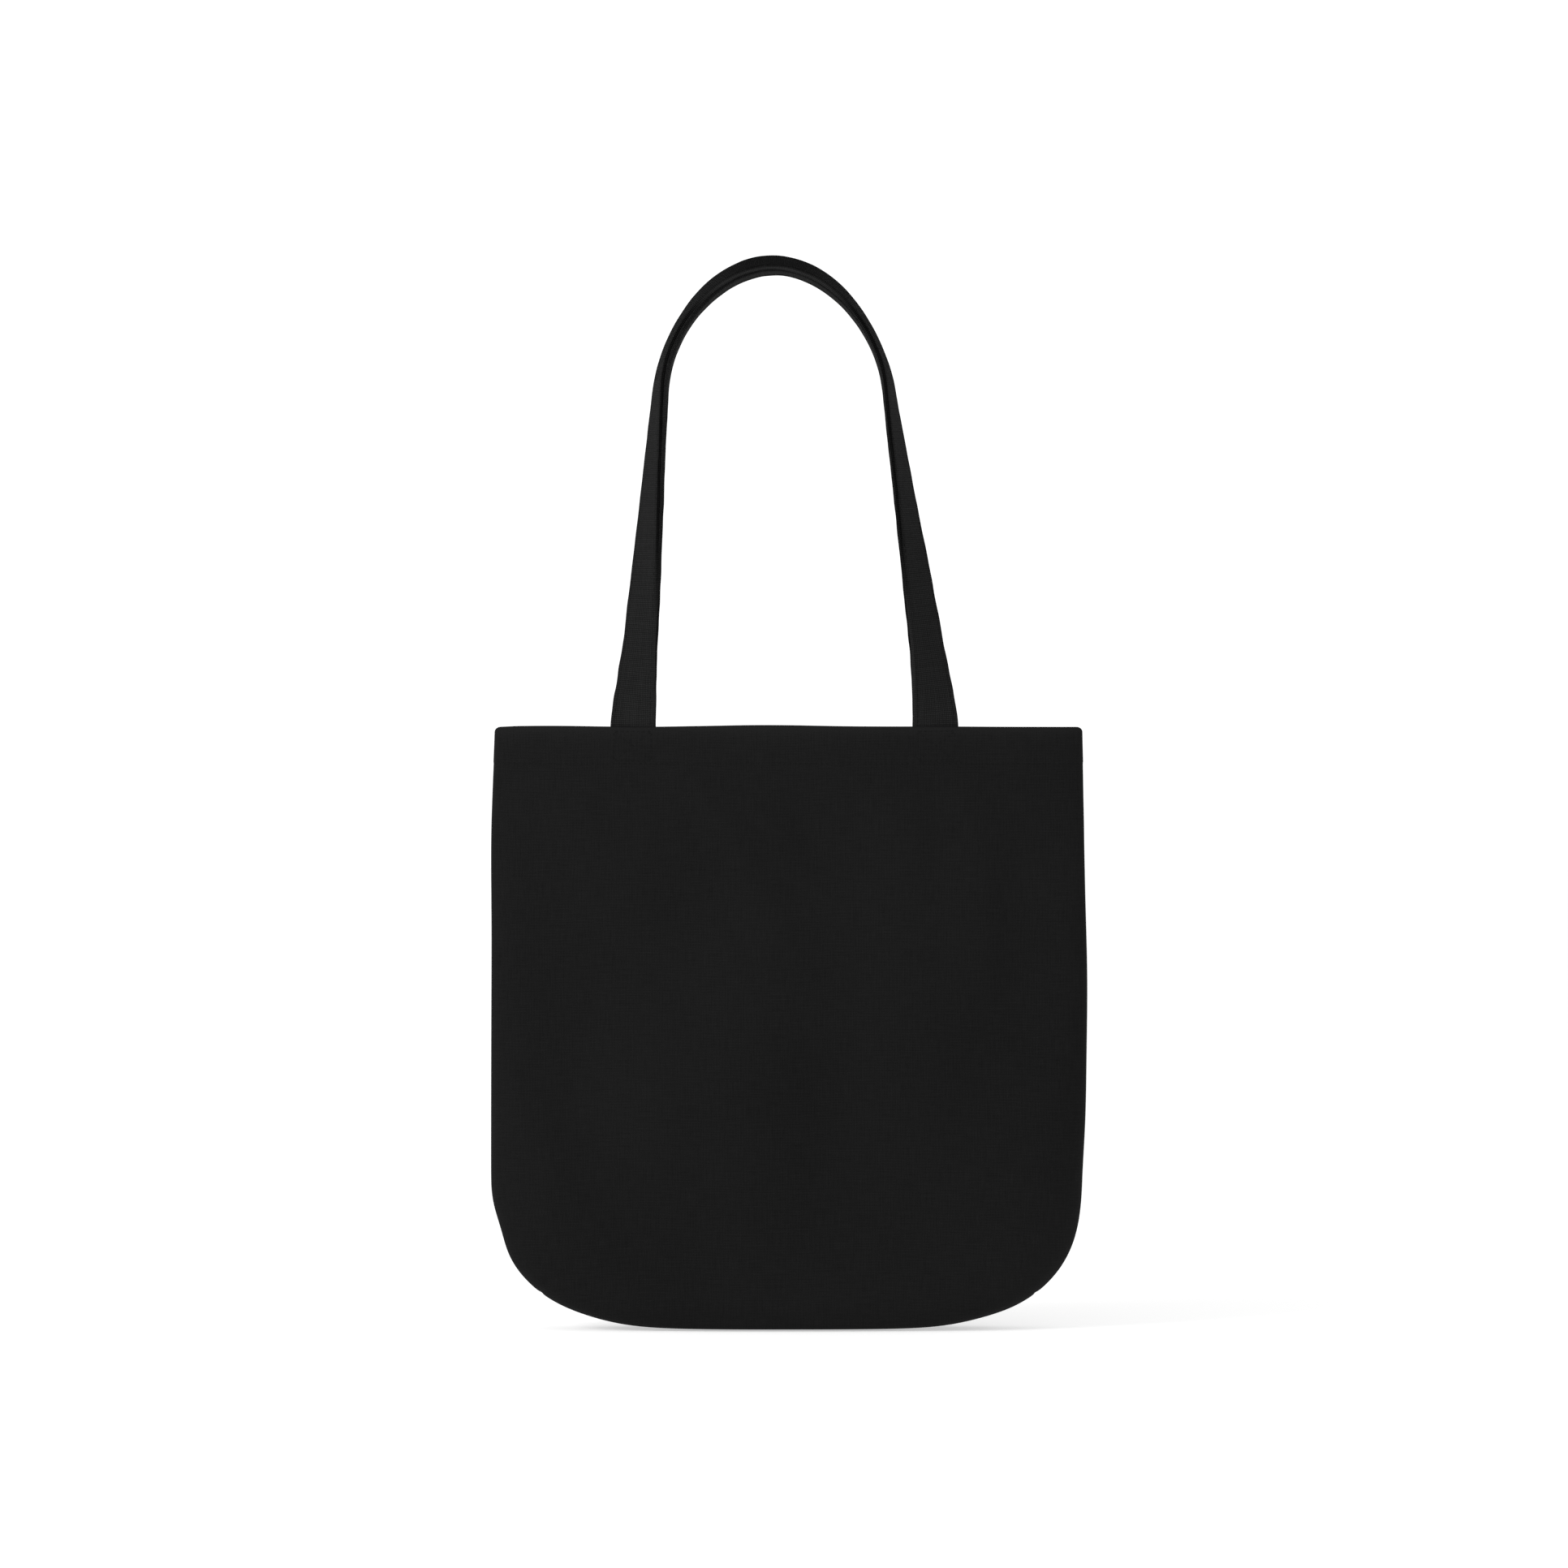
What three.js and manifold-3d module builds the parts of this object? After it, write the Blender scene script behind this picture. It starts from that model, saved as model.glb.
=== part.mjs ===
// A canvas tote bag with two long carrying straps, in millimetres, +Z up.
//
// The bag is two cut panels of canvas, front and back, joined by a seam down each side and one
// along the middle of the base. The two bottom corners are boxed: each is sewn straight across,
// which gives the base its depth. The mouth is turned in as a hem, and each strap is a folded
// strip whose two ends are sewn flat against the inside of that hem with a boxed cross. Above
// the hem each strap turns edge-on and arches over.
// Origin: middle of the base, on the surface that the bag stands on; the front is -Y.
import * as THREE from "three";
import { mergeVertices } from "three/addons/utils/BufferGeometryUtils.js";
import Module from "manifold-3d";

// ---- driving dimensions ----
const HEIGHT = 383; // base to mouth
const HALF_WIDTH = 190; // widest half width of the filled bag
const MOUTH_NARROWING = 2.2; // how much less the half width is at the mouth
const BASE_HALF_WIDTH = 72; // half width of the stretch that lies flat
const CORNER_HEIGHT = 95; // height of the rounded bottom corners
const CORNER_POWER = 2.4; // squareness of that rounding, 2 is an ellipse
const BELLY_HALF_DEPTH = 40; // half depth low down, where the boxed base holds the panels apart
const MOUTH_HALF_DEPTH = 29; // half depth of the open mouth
const BASE_HALF_DEPTH = 28; // half depth of the stretch that lies flat
const BASE_EDGE_HEIGHT = 34; // height of the rounding between the base and a panel
const BASE_EDGE_POWER = 2.1;
const MOUTH_POWER = 1.8; // squareness of the level section at the mouth
const BASE_POWER = 3.2; // and near the base

const CLOTH = 1.0; // thickness of the canvas
const HEM_DEPTH = 25; // how far down the turned-in hem reaches
const HEM_CLOTH = 2.7; // three layers: the panel and the hem turned in twice
const SEAM_ALLOWANCE = 10; // width of the overlocked cloth edges inside each seam
const SEAM_THICKNESS = 2.2; // two layers and the overlocking thread round them
const CORNER_SEAM_HEIGHT = 22; // how high the seams across the boxed corners lie
const CORNER_SEAM_SLOPE = 42; // in degrees
const THREAD = 0.7; // thickness of a line of stitching
const GAP = 0.3; // kept between neighbouring pieces

const STRAP_WIDTH = 29;
const STRAP_THICKNESS = 2.6; // four layers of canvas
const STRAP_SPREAD = 96.4; // middle of the bag to the middle of a strap's foot
const STRAP_OFFSET = -2.8; // how far both feet are sewn off the middle
const LEG_HEIGHT = 215; // mouth to the start of the arch
const ARCH_HEIGHT = 79;
const STRAP_APART = 16.3; // middle plane of the bag to the middle of a strap's arch
const LEG_SLOPE = { front: 0.11, back: 0.117 }; // how fast each strap narrows upwards
const STRAP_LEAN = { front: -7.3, back: -6.3 }; // how far each arch leans sideways
const TOPSTITCH_INSET = 2.6; // edge of the strap to its line of stitching

// Where a strap's face points, from 90 (forwards) to 0 (outwards along its arch), in degrees,
// at heights above the mouth.
const STRAP_TURNS = [
  [0, 82],
  [25, 58],
  [50, 46],
  [102, 34],
  [154, 22],
  [206, 13],
  [235, 10],
  [LEG_HEIGHT + ARCH_HEIGHT, 17],
];

const CANVAS = new THREE.MeshStandardMaterial({ color: 0x1c1c1c, roughness: 0.92, metalness: 0 });
const STRAP_CLOTH = new THREE.MeshStandardMaterial({ color: 0x232323, roughness: 0.88, metalness: 0 });
const SEAM_CLOTH = new THREE.MeshStandardMaterial({ color: 0x181818, roughness: 0.9, metalness: 0 });
const THREAD_BLACK = new THREE.MeshStandardMaterial({ color: 0x191919, roughness: 0.7, metalness: 0 });

const SIDES = ["front", "back"];
const FACING = { front: -1, back: 1 };
const HANDS = [["left", -1], ["right", 1]];
const HEM_BOTTOM = HEIGHT - HEM_DEPTH;
const FAR = 1000;

const wasm = await Module();
wasm.setup();
const { clamp, degToRad, lerp, smoothstep } = THREE.MathUtils;

const bag = new THREE.Group();

function addMesh(name, geometry, material) {
  const mesh = new THREE.Mesh(geometry, material);
  mesh.name = name;
  bag.add(mesh);
}

// ---- solids, for the pieces that are cut from others ----
function toSolid(geometry) {
  const bare = geometry.clone();
  bare.deleteAttribute("normal");
  bare.deleteAttribute("uv");
  const merged = mergeVertices(bare, 1e-4);
  const mesh = new wasm.Mesh({
    numProp: 3,
    vertProperties: new Float32Array(merged.attributes.position.array),
    triVerts: new Uint32Array(merged.index.array),
  });
  return new wasm.Manifold(mesh);
}

function toGeometry(solid) {
  const made = solid.getMesh();
  const points = new Float32Array(made.numVert * 3);
  for (let i = 0; i < made.numVert; i++) {
    const start = i * made.numProp;
    points.set(made.vertProperties.subarray(start, start + 3), i * 3);
  }
  const geometry = new THREE.BufferGeometry();
  geometry.setAttribute("position", new THREE.BufferAttribute(points, 3));
  geometry.setIndex(new THREE.BufferAttribute(made.triVerts, 1));
  return geometry;
}

function block(low, high) {
  const geometry = new THREE.BoxGeometry(high[0] - low[0], high[1] - low[1], high[2] - low[2]);
  geometry.translate((low[0] + high[0]) / 2, (low[1] + high[1]) / 2, (low[2] + high[2]) / 2);
  return toSolid(geometry);
}

// ---- the shape of the bag ----
// A quarter of a superellipse: 0 at the foot and 1 from the given height up.
function rounding(z, height, power) {
  const below = clamp(1 - z / height, 0, 1);
  return (1 - below ** power) ** (1 / power);
}

// The bag's level section at a height, as half sizes and a squareness, taken in by an inset.
function sectionAt(z, inset = 0) {
  const level = clamp(z - inset, 0, HEIGHT);
  const up = clamp((level - CORNER_HEIGHT) / (HEIGHT - CORNER_HEIGHT), 0, 1);
  const corner = rounding(level, CORNER_HEIGHT, CORNER_POWER);
  const halfWidth = lerp(BASE_HALF_WIDTH, HALF_WIDTH, corner) - MOUTH_NARROWING * up ** 3;
  const wall = lerp(BELLY_HALF_DEPTH, MOUTH_HALF_DEPTH, smoothstep(up, 0, 1));
  const halfDepth = lerp(BASE_HALF_DEPTH, wall, rounding(level, BASE_EDGE_HEIGHT, BASE_EDGE_POWER));
  const power = lerp(BASE_POWER, MOUTH_POWER, smoothstep(level, 0, HEIGHT));
  return { halfWidth: halfWidth - inset, halfDepth: halfDepth - inset, power };
}

function sectionPoint(z, angle, inset = 0) {
  const { halfWidth, halfDepth, power } = sectionAt(z, inset);
  const bend = (value) => Math.sign(value) * Math.abs(value) ** (2 / power);
  return new THREE.Vector3(halfWidth * bend(Math.cos(angle)), halfDepth * bend(Math.sin(angle)), z);
}

// How far the section reaches from the middle plane at a place across the bag.
function halfDepthAt(z, x, inset = 0) {
  const { halfWidth, halfDepth, power } = sectionAt(z, inset);
  const across = Math.min(1, Math.abs(x) / halfWidth);
  return halfDepth * (1 - across ** power) ** (1 / power);
}

// The closed shape of the bag, taken in by an inset, from its base up to a height.
function bodySolid(inset, top) {
  const columns = 52;
  const rows = 17;
  const crowding = 1.9; // brings the rows closer together towards the base
  const geometry = new THREE.CylinderGeometry(1, 1, 1, columns, rows);
  geometry.rotateX(Math.PI / 2);
  const place = geometry.attributes.position;
  for (let i = 0; i < place.count; i++) {
    const rise = clamp(place.getZ(i) + 0.5, 0, 1) ** crowding;
    const z = lerp(inset, top, rise);
    const reach = Math.hypot(place.getX(i), place.getY(i));
    const spot = sectionPoint(z, Math.atan2(place.getY(i), place.getX(i)), inset);
    place.setXYZ(i, spot.x * reach, spot.y * reach, z);
  }
  return toSolid(geometry);
}

// ---- panels: one cloth each, thin, with the mouth turned in as a hem ----
function addPanels() {
  const shell = bodySolid(0, HEIGHT)
    .subtract(bodySolid(CLOTH, HEM_BOTTOM))
    .subtract(bodySolid(HEM_CLOTH, HEIGHT + CLOTH));
  const halves = {
    front: block([-FAR, -FAR, -FAR], [FAR, -GAP / 2, FAR]),
    back: block([-FAR, GAP / 2, -FAR], [FAR, FAR, FAR]),
  };
  for (const side of SIDES) {
    addMesh(`${side}_panel`, toGeometry(shell.intersect(halves[side])), CANVAS);
  }
}

// ---- seams: the overlocked edges of the two panels, which stand inside the bag ----
function addSideSeams() {
  const steps = 26;
  const sideCurve = 1.4; // room for the side's roundness beside the seam's thickness
  const top = HEM_BOTTOM - 2;
  const bottom = CORNER_SEAM_HEIGHT + 14;
  for (const [name, hand] of HANDS) {
    const edge = (inset) =>
      Array.from({ length: steps + 1 }, (_, i) => {
        const z = lerp(bottom, top, (i / steps) ** 1.6);
        return new THREE.Vector2(hand * (sectionAt(z, CLOTH).halfWidth - inset), z);
      });
    const outline = [...edge(sideCurve), ...edge(sideCurve + SEAM_ALLOWANCE).reverse()];
    const fin = new THREE.ExtrudeGeometry(new THREE.Shape(outline), {
      depth: SEAM_THICKNESS,
      bevelEnabled: false,
    });
    fin.rotateX(Math.PI / 2);
    fin.translate(0, SEAM_THICKNESS / 2, 0);
    addMesh(`${name}_side_seam`, fin, SEAM_CLOTH);
  }
}

function addBottomSeam() {
  const length = BASE_HALF_WIDTH * 2 - 8;
  const strip = new THREE.BoxGeometry(length, SEAM_ALLOWANCE, SEAM_THICKNESS);
  strip.translate(0, 0, CLOTH + GAP + SEAM_THICKNESS / 2);
  addMesh("bottom_seam", strip, SEAM_CLOTH);
}

function addCornerSeams() {
  const inward = 13; // the corner's surface to the middle of the seam's edge
  const ends = 2.5; // kept between each end of the seam and the panels
  const middle = sectionAt(CORNER_SEAM_HEIGHT).halfWidth - inward;
  const reach = SEAM_ALLOWANCE / 2;
  const depth = Math.min(
    halfDepthAt(CORNER_SEAM_HEIGHT - reach, middle - reach, CLOTH),
    halfDepthAt(CORNER_SEAM_HEIGHT + reach, middle + reach, CLOTH),
  );
  for (const [name, hand] of HANDS) {
    const strip = new THREE.BoxGeometry(SEAM_ALLOWANCE, 2 * (depth - ends), SEAM_THICKNESS);
    strip.rotateY(-hand * degToRad(CORNER_SEAM_SLOPE));
    strip.translate(hand * middle, 0, CORNER_SEAM_HEIGHT);
    addMesh(`${name}_corner_seam`, strip, SEAM_CLOTH);
  }
}

// ---- the line of stitching round the hem, half on each panel ----
function addHemStitching() {
  const z = HEM_BOTTOM + 1.5;
  const steps = 52;
  const ends = 0.16; // keeps the two halves apart at the side seams, in radians
  const out = GAP * 1.5 + THREAD / 2;
  const round = new THREE.Shape().absarc(0, 0, THREAD / 2, 0, Math.PI * 2);
  for (const side of SIDES) {
    const points = Array.from({ length: steps + 1 }, (_, i) => {
      const angle = FACING[side] * lerp(ends, Math.PI - ends, i / steps);
      const spot = sectionPoint(z, angle);
      const along = sectionPoint(z, angle + 0.01).sub(sectionPoint(z, angle - 0.01));
      return spot.addScaledVector(new THREE.Vector3(along.y, -along.x, 0).normalize(), out);
    });
    const line = new THREE.ExtrudeGeometry(round, {
      steps,
      curveSegments: 2,
      bevelEnabled: false,
      extrudePath: new THREE.CatmullRomCurve3(points),
    });
    addMesh(`${side}_hem_stitching`, line, THREAD_BLACK);
  }
}

// ---- straps ----
const BEND = 2.2; // mouth to where a strap's loop begins, above its sewn end

// Where a strap's foot stands behind the hem, and how far the hem turns it from facing forwards.
function strapFoot(hand) {
  const x = hand * STRAP_SPREAD + STRAP_OFFSET;
  const inset = HEM_CLOTH + GAP + STRAP_THICKNESS / 2;
  const room = 0.35; // for the hem's curve across the strap's width
  const fall = halfDepthAt(HEIGHT, x - 1, inset) - halfDepthAt(HEIGHT, x + 1, inset);
  return { x, y: halfDepthAt(HEIGHT, x, inset) - room, turn: Math.atan2(fall, 2) };
}

function turnAt(height) {
  const found = STRAP_TURNS.findIndex(([h]) => h >= height);
  const next = found < 0 ? STRAP_TURNS.length - 1 : Math.max(1, found);
  const [lowHeight, lowTurn] = STRAP_TURNS[next - 1];
  const [highHeight, highTurn] = STRAP_TURNS[next];
  const share = clamp((height - lowHeight) / (highHeight - lowHeight), 0, 1);
  return degToRad(lerp(lowTurn, highTurn, share));
}

// A point on a strap's middle line: -1 is its left foot, 0 the top of its arch, 1 its right foot.
function strapPoint(side, position) {
  const legShare = 0.62; // of the line, counted from a foot, is straight leg
  const fromFoot = 1 - Math.abs(position);
  const inArch = clamp((fromFoot - legShare) / (1 - legShare), 0, 1);
  const arch = Math.sin((inArch * Math.PI) / 2);
  const leg = lerp(BEND, LEG_HEIGHT, clamp(fromFoot / legShare, 0, 1));
  const height = leg + ARCH_HEIGHT * arch;
  const spread = (STRAP_SPREAD - LEG_SLOPE[side] * height) * Math.sqrt(1 - arch * arch);
  const lean = STRAP_OFFSET + STRAP_LEAN[side] * smoothstep(height, 0, 270);
  const footDepth = strapFoot(Math.sign(position) || 1).y;
  const y = lerp(footDepth, STRAP_APART, clamp(height / LEG_HEIGHT, 0, 1));
  return new THREE.Vector3(Math.sign(position) * spread + lean, FACING[side] * y, HEIGHT + height);
}

function strapCurve(side) {
  const samples = 48;
  const points = Array.from({ length: samples + 1 }, (_, i) => strapPoint(side, (2 * i) / samples - 1));
  const curve = new THREE.CatmullRomCurve3(points, false, "centripetal");
  curve.arcLengthDivisions = 600;
  return curve;
}

// A strip along a strap's middle line, moved across its width and out from its face.
function strapStrip(side, width, thickness, columns, across, out) {
  const steps = 76;
  const curve = strapCurve(side);
  const geometry = new THREE.BoxGeometry(width, thickness, 1, columns, 1, steps);
  const place = geometry.attributes.position;
  const forwards = new THREE.Vector3(0, FACING[side], 0);
  for (let i = 0; i < place.count; i++) {
    const even = clamp(place.getZ(i) + 0.5, 0, 1);
    const along = even - 0.055 * Math.sin(2 * Math.PI * even); // shorter steps near the feet
    const centre = curve.getPointAt(clamp(along, 0, 1));
    const tangent = curve.getTangentAt(clamp(along, 0, 1));
    const outwards = new THREE.Vector3().crossVectors(forwards, tangent).normalize();
    outwards.multiplyScalar(-FACING[side]);
    const turn = turnAt(centre.z - HEIGHT);
    const face = outwards.multiplyScalar(Math.cos(turn)).addScaledVector(forwards, Math.sin(turn));
    const breadth = new THREE.Vector3().crossVectors(face, tangent).normalize();
    const spot = centre
      .addScaledVector(breadth, FACING[side] * (place.getX(i) + across))
      .addScaledVector(face.normalize(), place.getY(i) + out);
    place.setXYZ(i, spot.x, spot.y, spot.z);
  }
  // The mapping may turn the strip inside out: its faces are then put back facing outwards.
  if (toSolid(geometry).volume() < 0) {
    const index = geometry.index.array;
    for (let i = 0; i < index.length; i += 3) {
      [index[i + 1], index[i + 2]] = [index[i + 2], index[i + 1]];
    }
  }
  return geometry;
}

function addStraps() {
  const across = STRAP_WIDTH / 2 - TOPSTITCH_INSET;
  const out = STRAP_THICKNESS / 2 + GAP + THREAD / 2;
  for (const side of SIDES) {
    addMesh(`${side}_strap`, strapStrip(side, STRAP_WIDTH, STRAP_THICKNESS, 3, 0, 0), STRAP_CLOTH);
    for (const [edge, way] of [["inner", 1], ["outer", -1]]) {
      const line = strapStrip(side, THREAD, THREAD / 2, 1, way * across, out);
      addMesh(`${side}_strap_${edge}_topstitching`, line, THREAD_BLACK);
    }
  }
}

// ---- strap ends, sewn flat behind the hem with a boxed cross ----
// Takes a piece drawn flat to a strap's foot, a given way inwards of the foot's middle.
function atFoot(geometry, side, hand, inwards, z) {
  const foot = strapFoot(hand);
  geometry.translate(0, -FACING[side] * inwards, 0);
  geometry.rotateZ(-FACING[side] * foot.turn);
  geometry.translate(foot.x, FACING[side] * foot.y, z);
  return geometry;
}

// A rectangle of stitching and its two diagonals, as one outline with four triangular holes.
function boxedCross() {
  const halfWidth = STRAP_WIDTH / 2 - TOPSTITCH_INSET;
  const halfHeight = HEM_DEPTH / 2 - 3;
  const line = THREAD;
  const diagonal = new THREE.Vector2(halfWidth, halfHeight).normalize();
  const shiftX = (line / 2) / diagonal.y; // half a diagonal line's width, measured across
  const shiftY = (line / 2) / diagonal.x; // and measured up
  const shape = new THREE.Shape();
  shape.moveTo(-halfWidth, -halfHeight);
  shape.lineTo(halfWidth, -halfHeight);
  shape.lineTo(halfWidth, halfHeight);
  shape.lineTo(-halfWidth, halfHeight);
  shape.closePath();
  const innerX = halfWidth - line;
  const innerY = halfHeight - line;
  for (const way of [-1, 1]) {
    const beside = [
      [way * innerX, innerY - shiftY],
      [way * innerX, shiftY - innerY],
      [way * shiftX, 0],
    ];
    const above = [
      [innerX - shiftX, way * innerY],
      [shiftX - innerX, way * innerY],
      [0, way * shiftY],
    ];
    for (const corners of [beside, above]) {
      shape.holes.push(new THREE.Path(corners.map(([x, y]) => new THREE.Vector2(x, y))));
    }
  }
  const geometry = new THREE.ExtrudeGeometry(shape, { depth: THREAD / 2, bevelEnabled: false });
  geometry.rotateX(Math.PI / 2);
  return geometry;
}

function addStrapEnds() {
  const height = HEM_DEPTH - 1;
  const middle = HEM_BOTTOM + height / 2;
  const behind = STRAP_THICKNESS / 2 + GAP + THREAD / 2;
  for (const side of SIDES) {
    for (const [name, hand] of HANDS) {
      const end = new THREE.BoxGeometry(STRAP_WIDTH, STRAP_THICKNESS, height);
      addMesh(`${side}_strap_${name}_end`, atFoot(end, side, hand, 0, middle), STRAP_CLOTH);
      const cross = atFoot(boxedCross(), side, hand, behind, middle);
      addMesh(`${side}_${name}_boxed_cross`, cross, THREAD_BLACK);
    }
  }
}

addPanels();
addSideSeams();
addBottomSeam();
addCornerSeams();
addHemStitching();
addStraps();
addStrapEnds();

export default bag;
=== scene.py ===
"""The look of the canvas tote bag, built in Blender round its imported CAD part.

Metres, +Z up, the front of the bag faces -Y, and it stands on z = 0. The two cloth panels are
lofted shells that hang from the hem, wrinkled by a short cloth simulation. The straps, stitches
and seam edges are swept or placed along the same lines as the CAD part's.
"""

import math

import bmesh
import bpy
import numpy as np
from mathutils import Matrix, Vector, noise


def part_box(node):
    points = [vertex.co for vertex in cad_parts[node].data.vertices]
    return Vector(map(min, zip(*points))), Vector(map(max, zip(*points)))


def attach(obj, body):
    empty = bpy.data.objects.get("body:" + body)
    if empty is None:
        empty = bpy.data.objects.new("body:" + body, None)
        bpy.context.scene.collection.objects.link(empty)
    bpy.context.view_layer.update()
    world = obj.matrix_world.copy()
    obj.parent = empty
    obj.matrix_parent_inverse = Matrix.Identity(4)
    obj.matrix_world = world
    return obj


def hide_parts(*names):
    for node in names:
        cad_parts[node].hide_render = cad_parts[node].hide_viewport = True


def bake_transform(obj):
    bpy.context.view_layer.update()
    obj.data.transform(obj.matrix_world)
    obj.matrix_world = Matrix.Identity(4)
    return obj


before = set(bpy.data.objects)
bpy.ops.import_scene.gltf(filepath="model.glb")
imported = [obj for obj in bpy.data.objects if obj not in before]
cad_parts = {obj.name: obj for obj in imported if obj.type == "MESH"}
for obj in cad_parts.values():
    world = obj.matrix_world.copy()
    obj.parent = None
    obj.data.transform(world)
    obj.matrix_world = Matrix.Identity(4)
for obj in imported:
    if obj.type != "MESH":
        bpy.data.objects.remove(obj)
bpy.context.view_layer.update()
MM = 0.001

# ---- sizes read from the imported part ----
panel_low, panel_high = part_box("front_panel")
HEIGHT = panel_high.z
HALF_WIDTH = panel_high.x
BELLY_HALF_DEPTH = -panel_low.y
HEM_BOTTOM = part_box("front_strap_left_end")[0].z
LEFT_FOOT = sum(v.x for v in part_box("front_strap_left_end")) / 2
RIGHT_FOOT = sum(v.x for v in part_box("front_strap_right_end")) / 2
STRAP_APART = -sum(v.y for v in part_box("front_strap")) / 2

# ---- the rest of the bag's shape, the same as in the CAD part ----
MOUTH_NARROWING = 2.2 * MM
BASE_HALF_WIDTH = 72 * MM
CORNER_HEIGHT = 95 * MM
CORNER_POWER = 2.4
MOUTH_HALF_DEPTH = 29 * MM
BASE_HALF_DEPTH = 28 * MM
BASE_EDGE_HEIGHT = 34 * MM
BASE_EDGE_POWER = 2.1
MOUTH_POWER = 1.8
BASE_POWER = 3.2
CLOTH = 1.0 * MM
HEM_CLOTH = 2.7 * MM
CORNER_SEAM_HEIGHT = 22 * MM
STRAP_WIDTH = 29 * MM
STRAP_THICKNESS = 2.6 * MM
LEG_HEIGHT = 215 * MM
ARCH_HEIGHT = {"front": 80.6 * MM, "back": 80.0 * MM}
LEG_SLOPE = {"front": 0.11, "back": 0.117}
STRAP_LEAN = {"front": -7.3 * MM, "back": -6.3 * MM}
LEAN_HEIGHT = 270 * MM
TOPSTITCH_INSET = 2.6 * MM
FACING = {"front": -1.0, "back": 1.0}

# How the soft sides bow out (+) or in (-): height, spread and amount, left (-1) and right (1).
SIDE_SWAY = {
    -1: [(3, 8, -5.0), (62, 17, -2.6), (315, 50, 1.3)],
    1: [(2, 7, -9.0), (82, 42, -2.8), (222, 45, 0.9)],
}


def smooth(value, low, high):
    """A soft step from 0 at low to 1 at high."""
    t = np.clip((value - low) / (high - low), 0, 1)
    return t * t * (3 - 2 * t)


def rounding(z, height, power):
    """How far an edge rounded over a height has reached at z: 0 at the floor, 1 at the height."""
    below = np.clip(1 - z / height, 0, 1)
    return (1 - below**power) ** (1 / power)


def section(z):
    """Half width, half depth and squareness of the bag's level section at heights z."""
    up = np.clip((z - CORNER_HEIGHT) / (HEIGHT - CORNER_HEIGHT), 0, 1)
    corner = rounding(z, CORNER_HEIGHT, CORNER_POWER)
    half_width = BASE_HALF_WIDTH + (HALF_WIDTH - BASE_HALF_WIDTH) * corner
    half_width = half_width - MOUTH_NARROWING * up**3
    wall = BELLY_HALF_DEPTH + (MOUTH_HALF_DEPTH - BELLY_HALF_DEPTH) * smooth(up, 0, 1)
    edge = rounding(z, BASE_EDGE_HEIGHT, BASE_EDGE_POWER)
    half_depth = BASE_HALF_DEPTH + (wall - BASE_HALF_DEPTH) * edge
    power = BASE_POWER + (MOUTH_POWER - BASE_POWER) * smooth(z, 0, HEIGHT)
    return half_width, half_depth, power


def half_depth_at(z, x):
    """How far from the middle plane a panel is at height z and distance x."""
    half_width, half_depth, power = section(z)
    across = np.clip(np.abs(x) / half_width, 0, 1)
    return half_depth * (1 - across**power) ** (1 / power)


def sway(x, z):
    """How far the side of the bag at x is moved along x by the softness of the cloth."""
    total = np.zeros(np.broadcast(x, z).shape)
    reach = (np.abs(x) / HALF_WIDTH) ** 2
    for hand, bows in SIDE_SWAY.items():
        for height, spread, amount in bows:
            bow = np.exp(-(((z / MM - height) / spread) ** 2)) * amount * MM
            total = total + np.where(np.sign(x) == hand, hand * bow * reach, 0)
    return total


# ---- a panel's grid: rows from the bottom seam to the mouth, columns from side to side ----
BASE_ROWS, CORNER_ROWS, WALL_ROWS = 5, 22, 46
ROWS = BASE_ROWS + CORNER_ROWS + WALL_ROWS
SECTION_STEPS = 1600


def row_place(row):
    """Height of a row, and how far it is from the bottom seam (0) to the edge of the base (1)."""
    row = np.asarray(row, float)
    share = np.clip(row / BASE_ROWS, 0, 1)
    turn = np.clip((row - BASE_ROWS) / CORNER_ROWS, 0, 1) ** 1.3 * math.pi / 2
    z = CORNER_HEIGHT * (1 - np.cos(turn) ** (2 / CORNER_POWER))
    wall = np.clip((row - BASE_ROWS - CORNER_ROWS) / WALL_ROWS, 0, 1)
    z = np.where(wall > 0, CORNER_HEIGHT + (HEIGHT - CORNER_HEIGHT) * wall, z)
    return z, share


def wall_row(z):
    """The row at a height above the rounded corner."""
    return BASE_ROWS + CORNER_ROWS + WALL_ROWS * (z - CORNER_HEIGHT) / (HEIGHT - CORNER_HEIGHT)


def section_line(z):
    """One panel's section at a height: x and y from the left to the right seam, and lengths."""
    s = np.sin(np.linspace(-1, 1, SECTION_STEPS + 1) * math.pi / 2)
    half_width, half_depth, power = section(np.array([z]))
    x = half_width[0] * s
    y = half_depth[0] * np.clip(1 - np.abs(s) ** power[0], 0, 1) ** (1 / power[0])
    along = np.concatenate([[0], np.cumsum(np.hypot(np.diff(x), np.diff(y)))])
    return x, y, along


def panel_points(rows, columns, side):
    """The unwrinkled outside of a panel. columns are shares of the way from left to right."""
    heights, shares = row_place(rows)
    points = np.zeros((len(rows), len(columns), 3))
    arcs = np.zeros((len(rows), len(columns)))
    for i, (z, share) in enumerate(zip(heights, shares)):
        x, y, along = section_line(z)
        at = columns * along[-1]
        points[i, :, 0] = np.interp(at, along, x)
        points[i, :, 1] = FACING[side] * np.interp(at, along, y) * share
        points[i, :, 2] = z
        arcs[i] = at - along[-1] / 2
    return points, arcs


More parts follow.
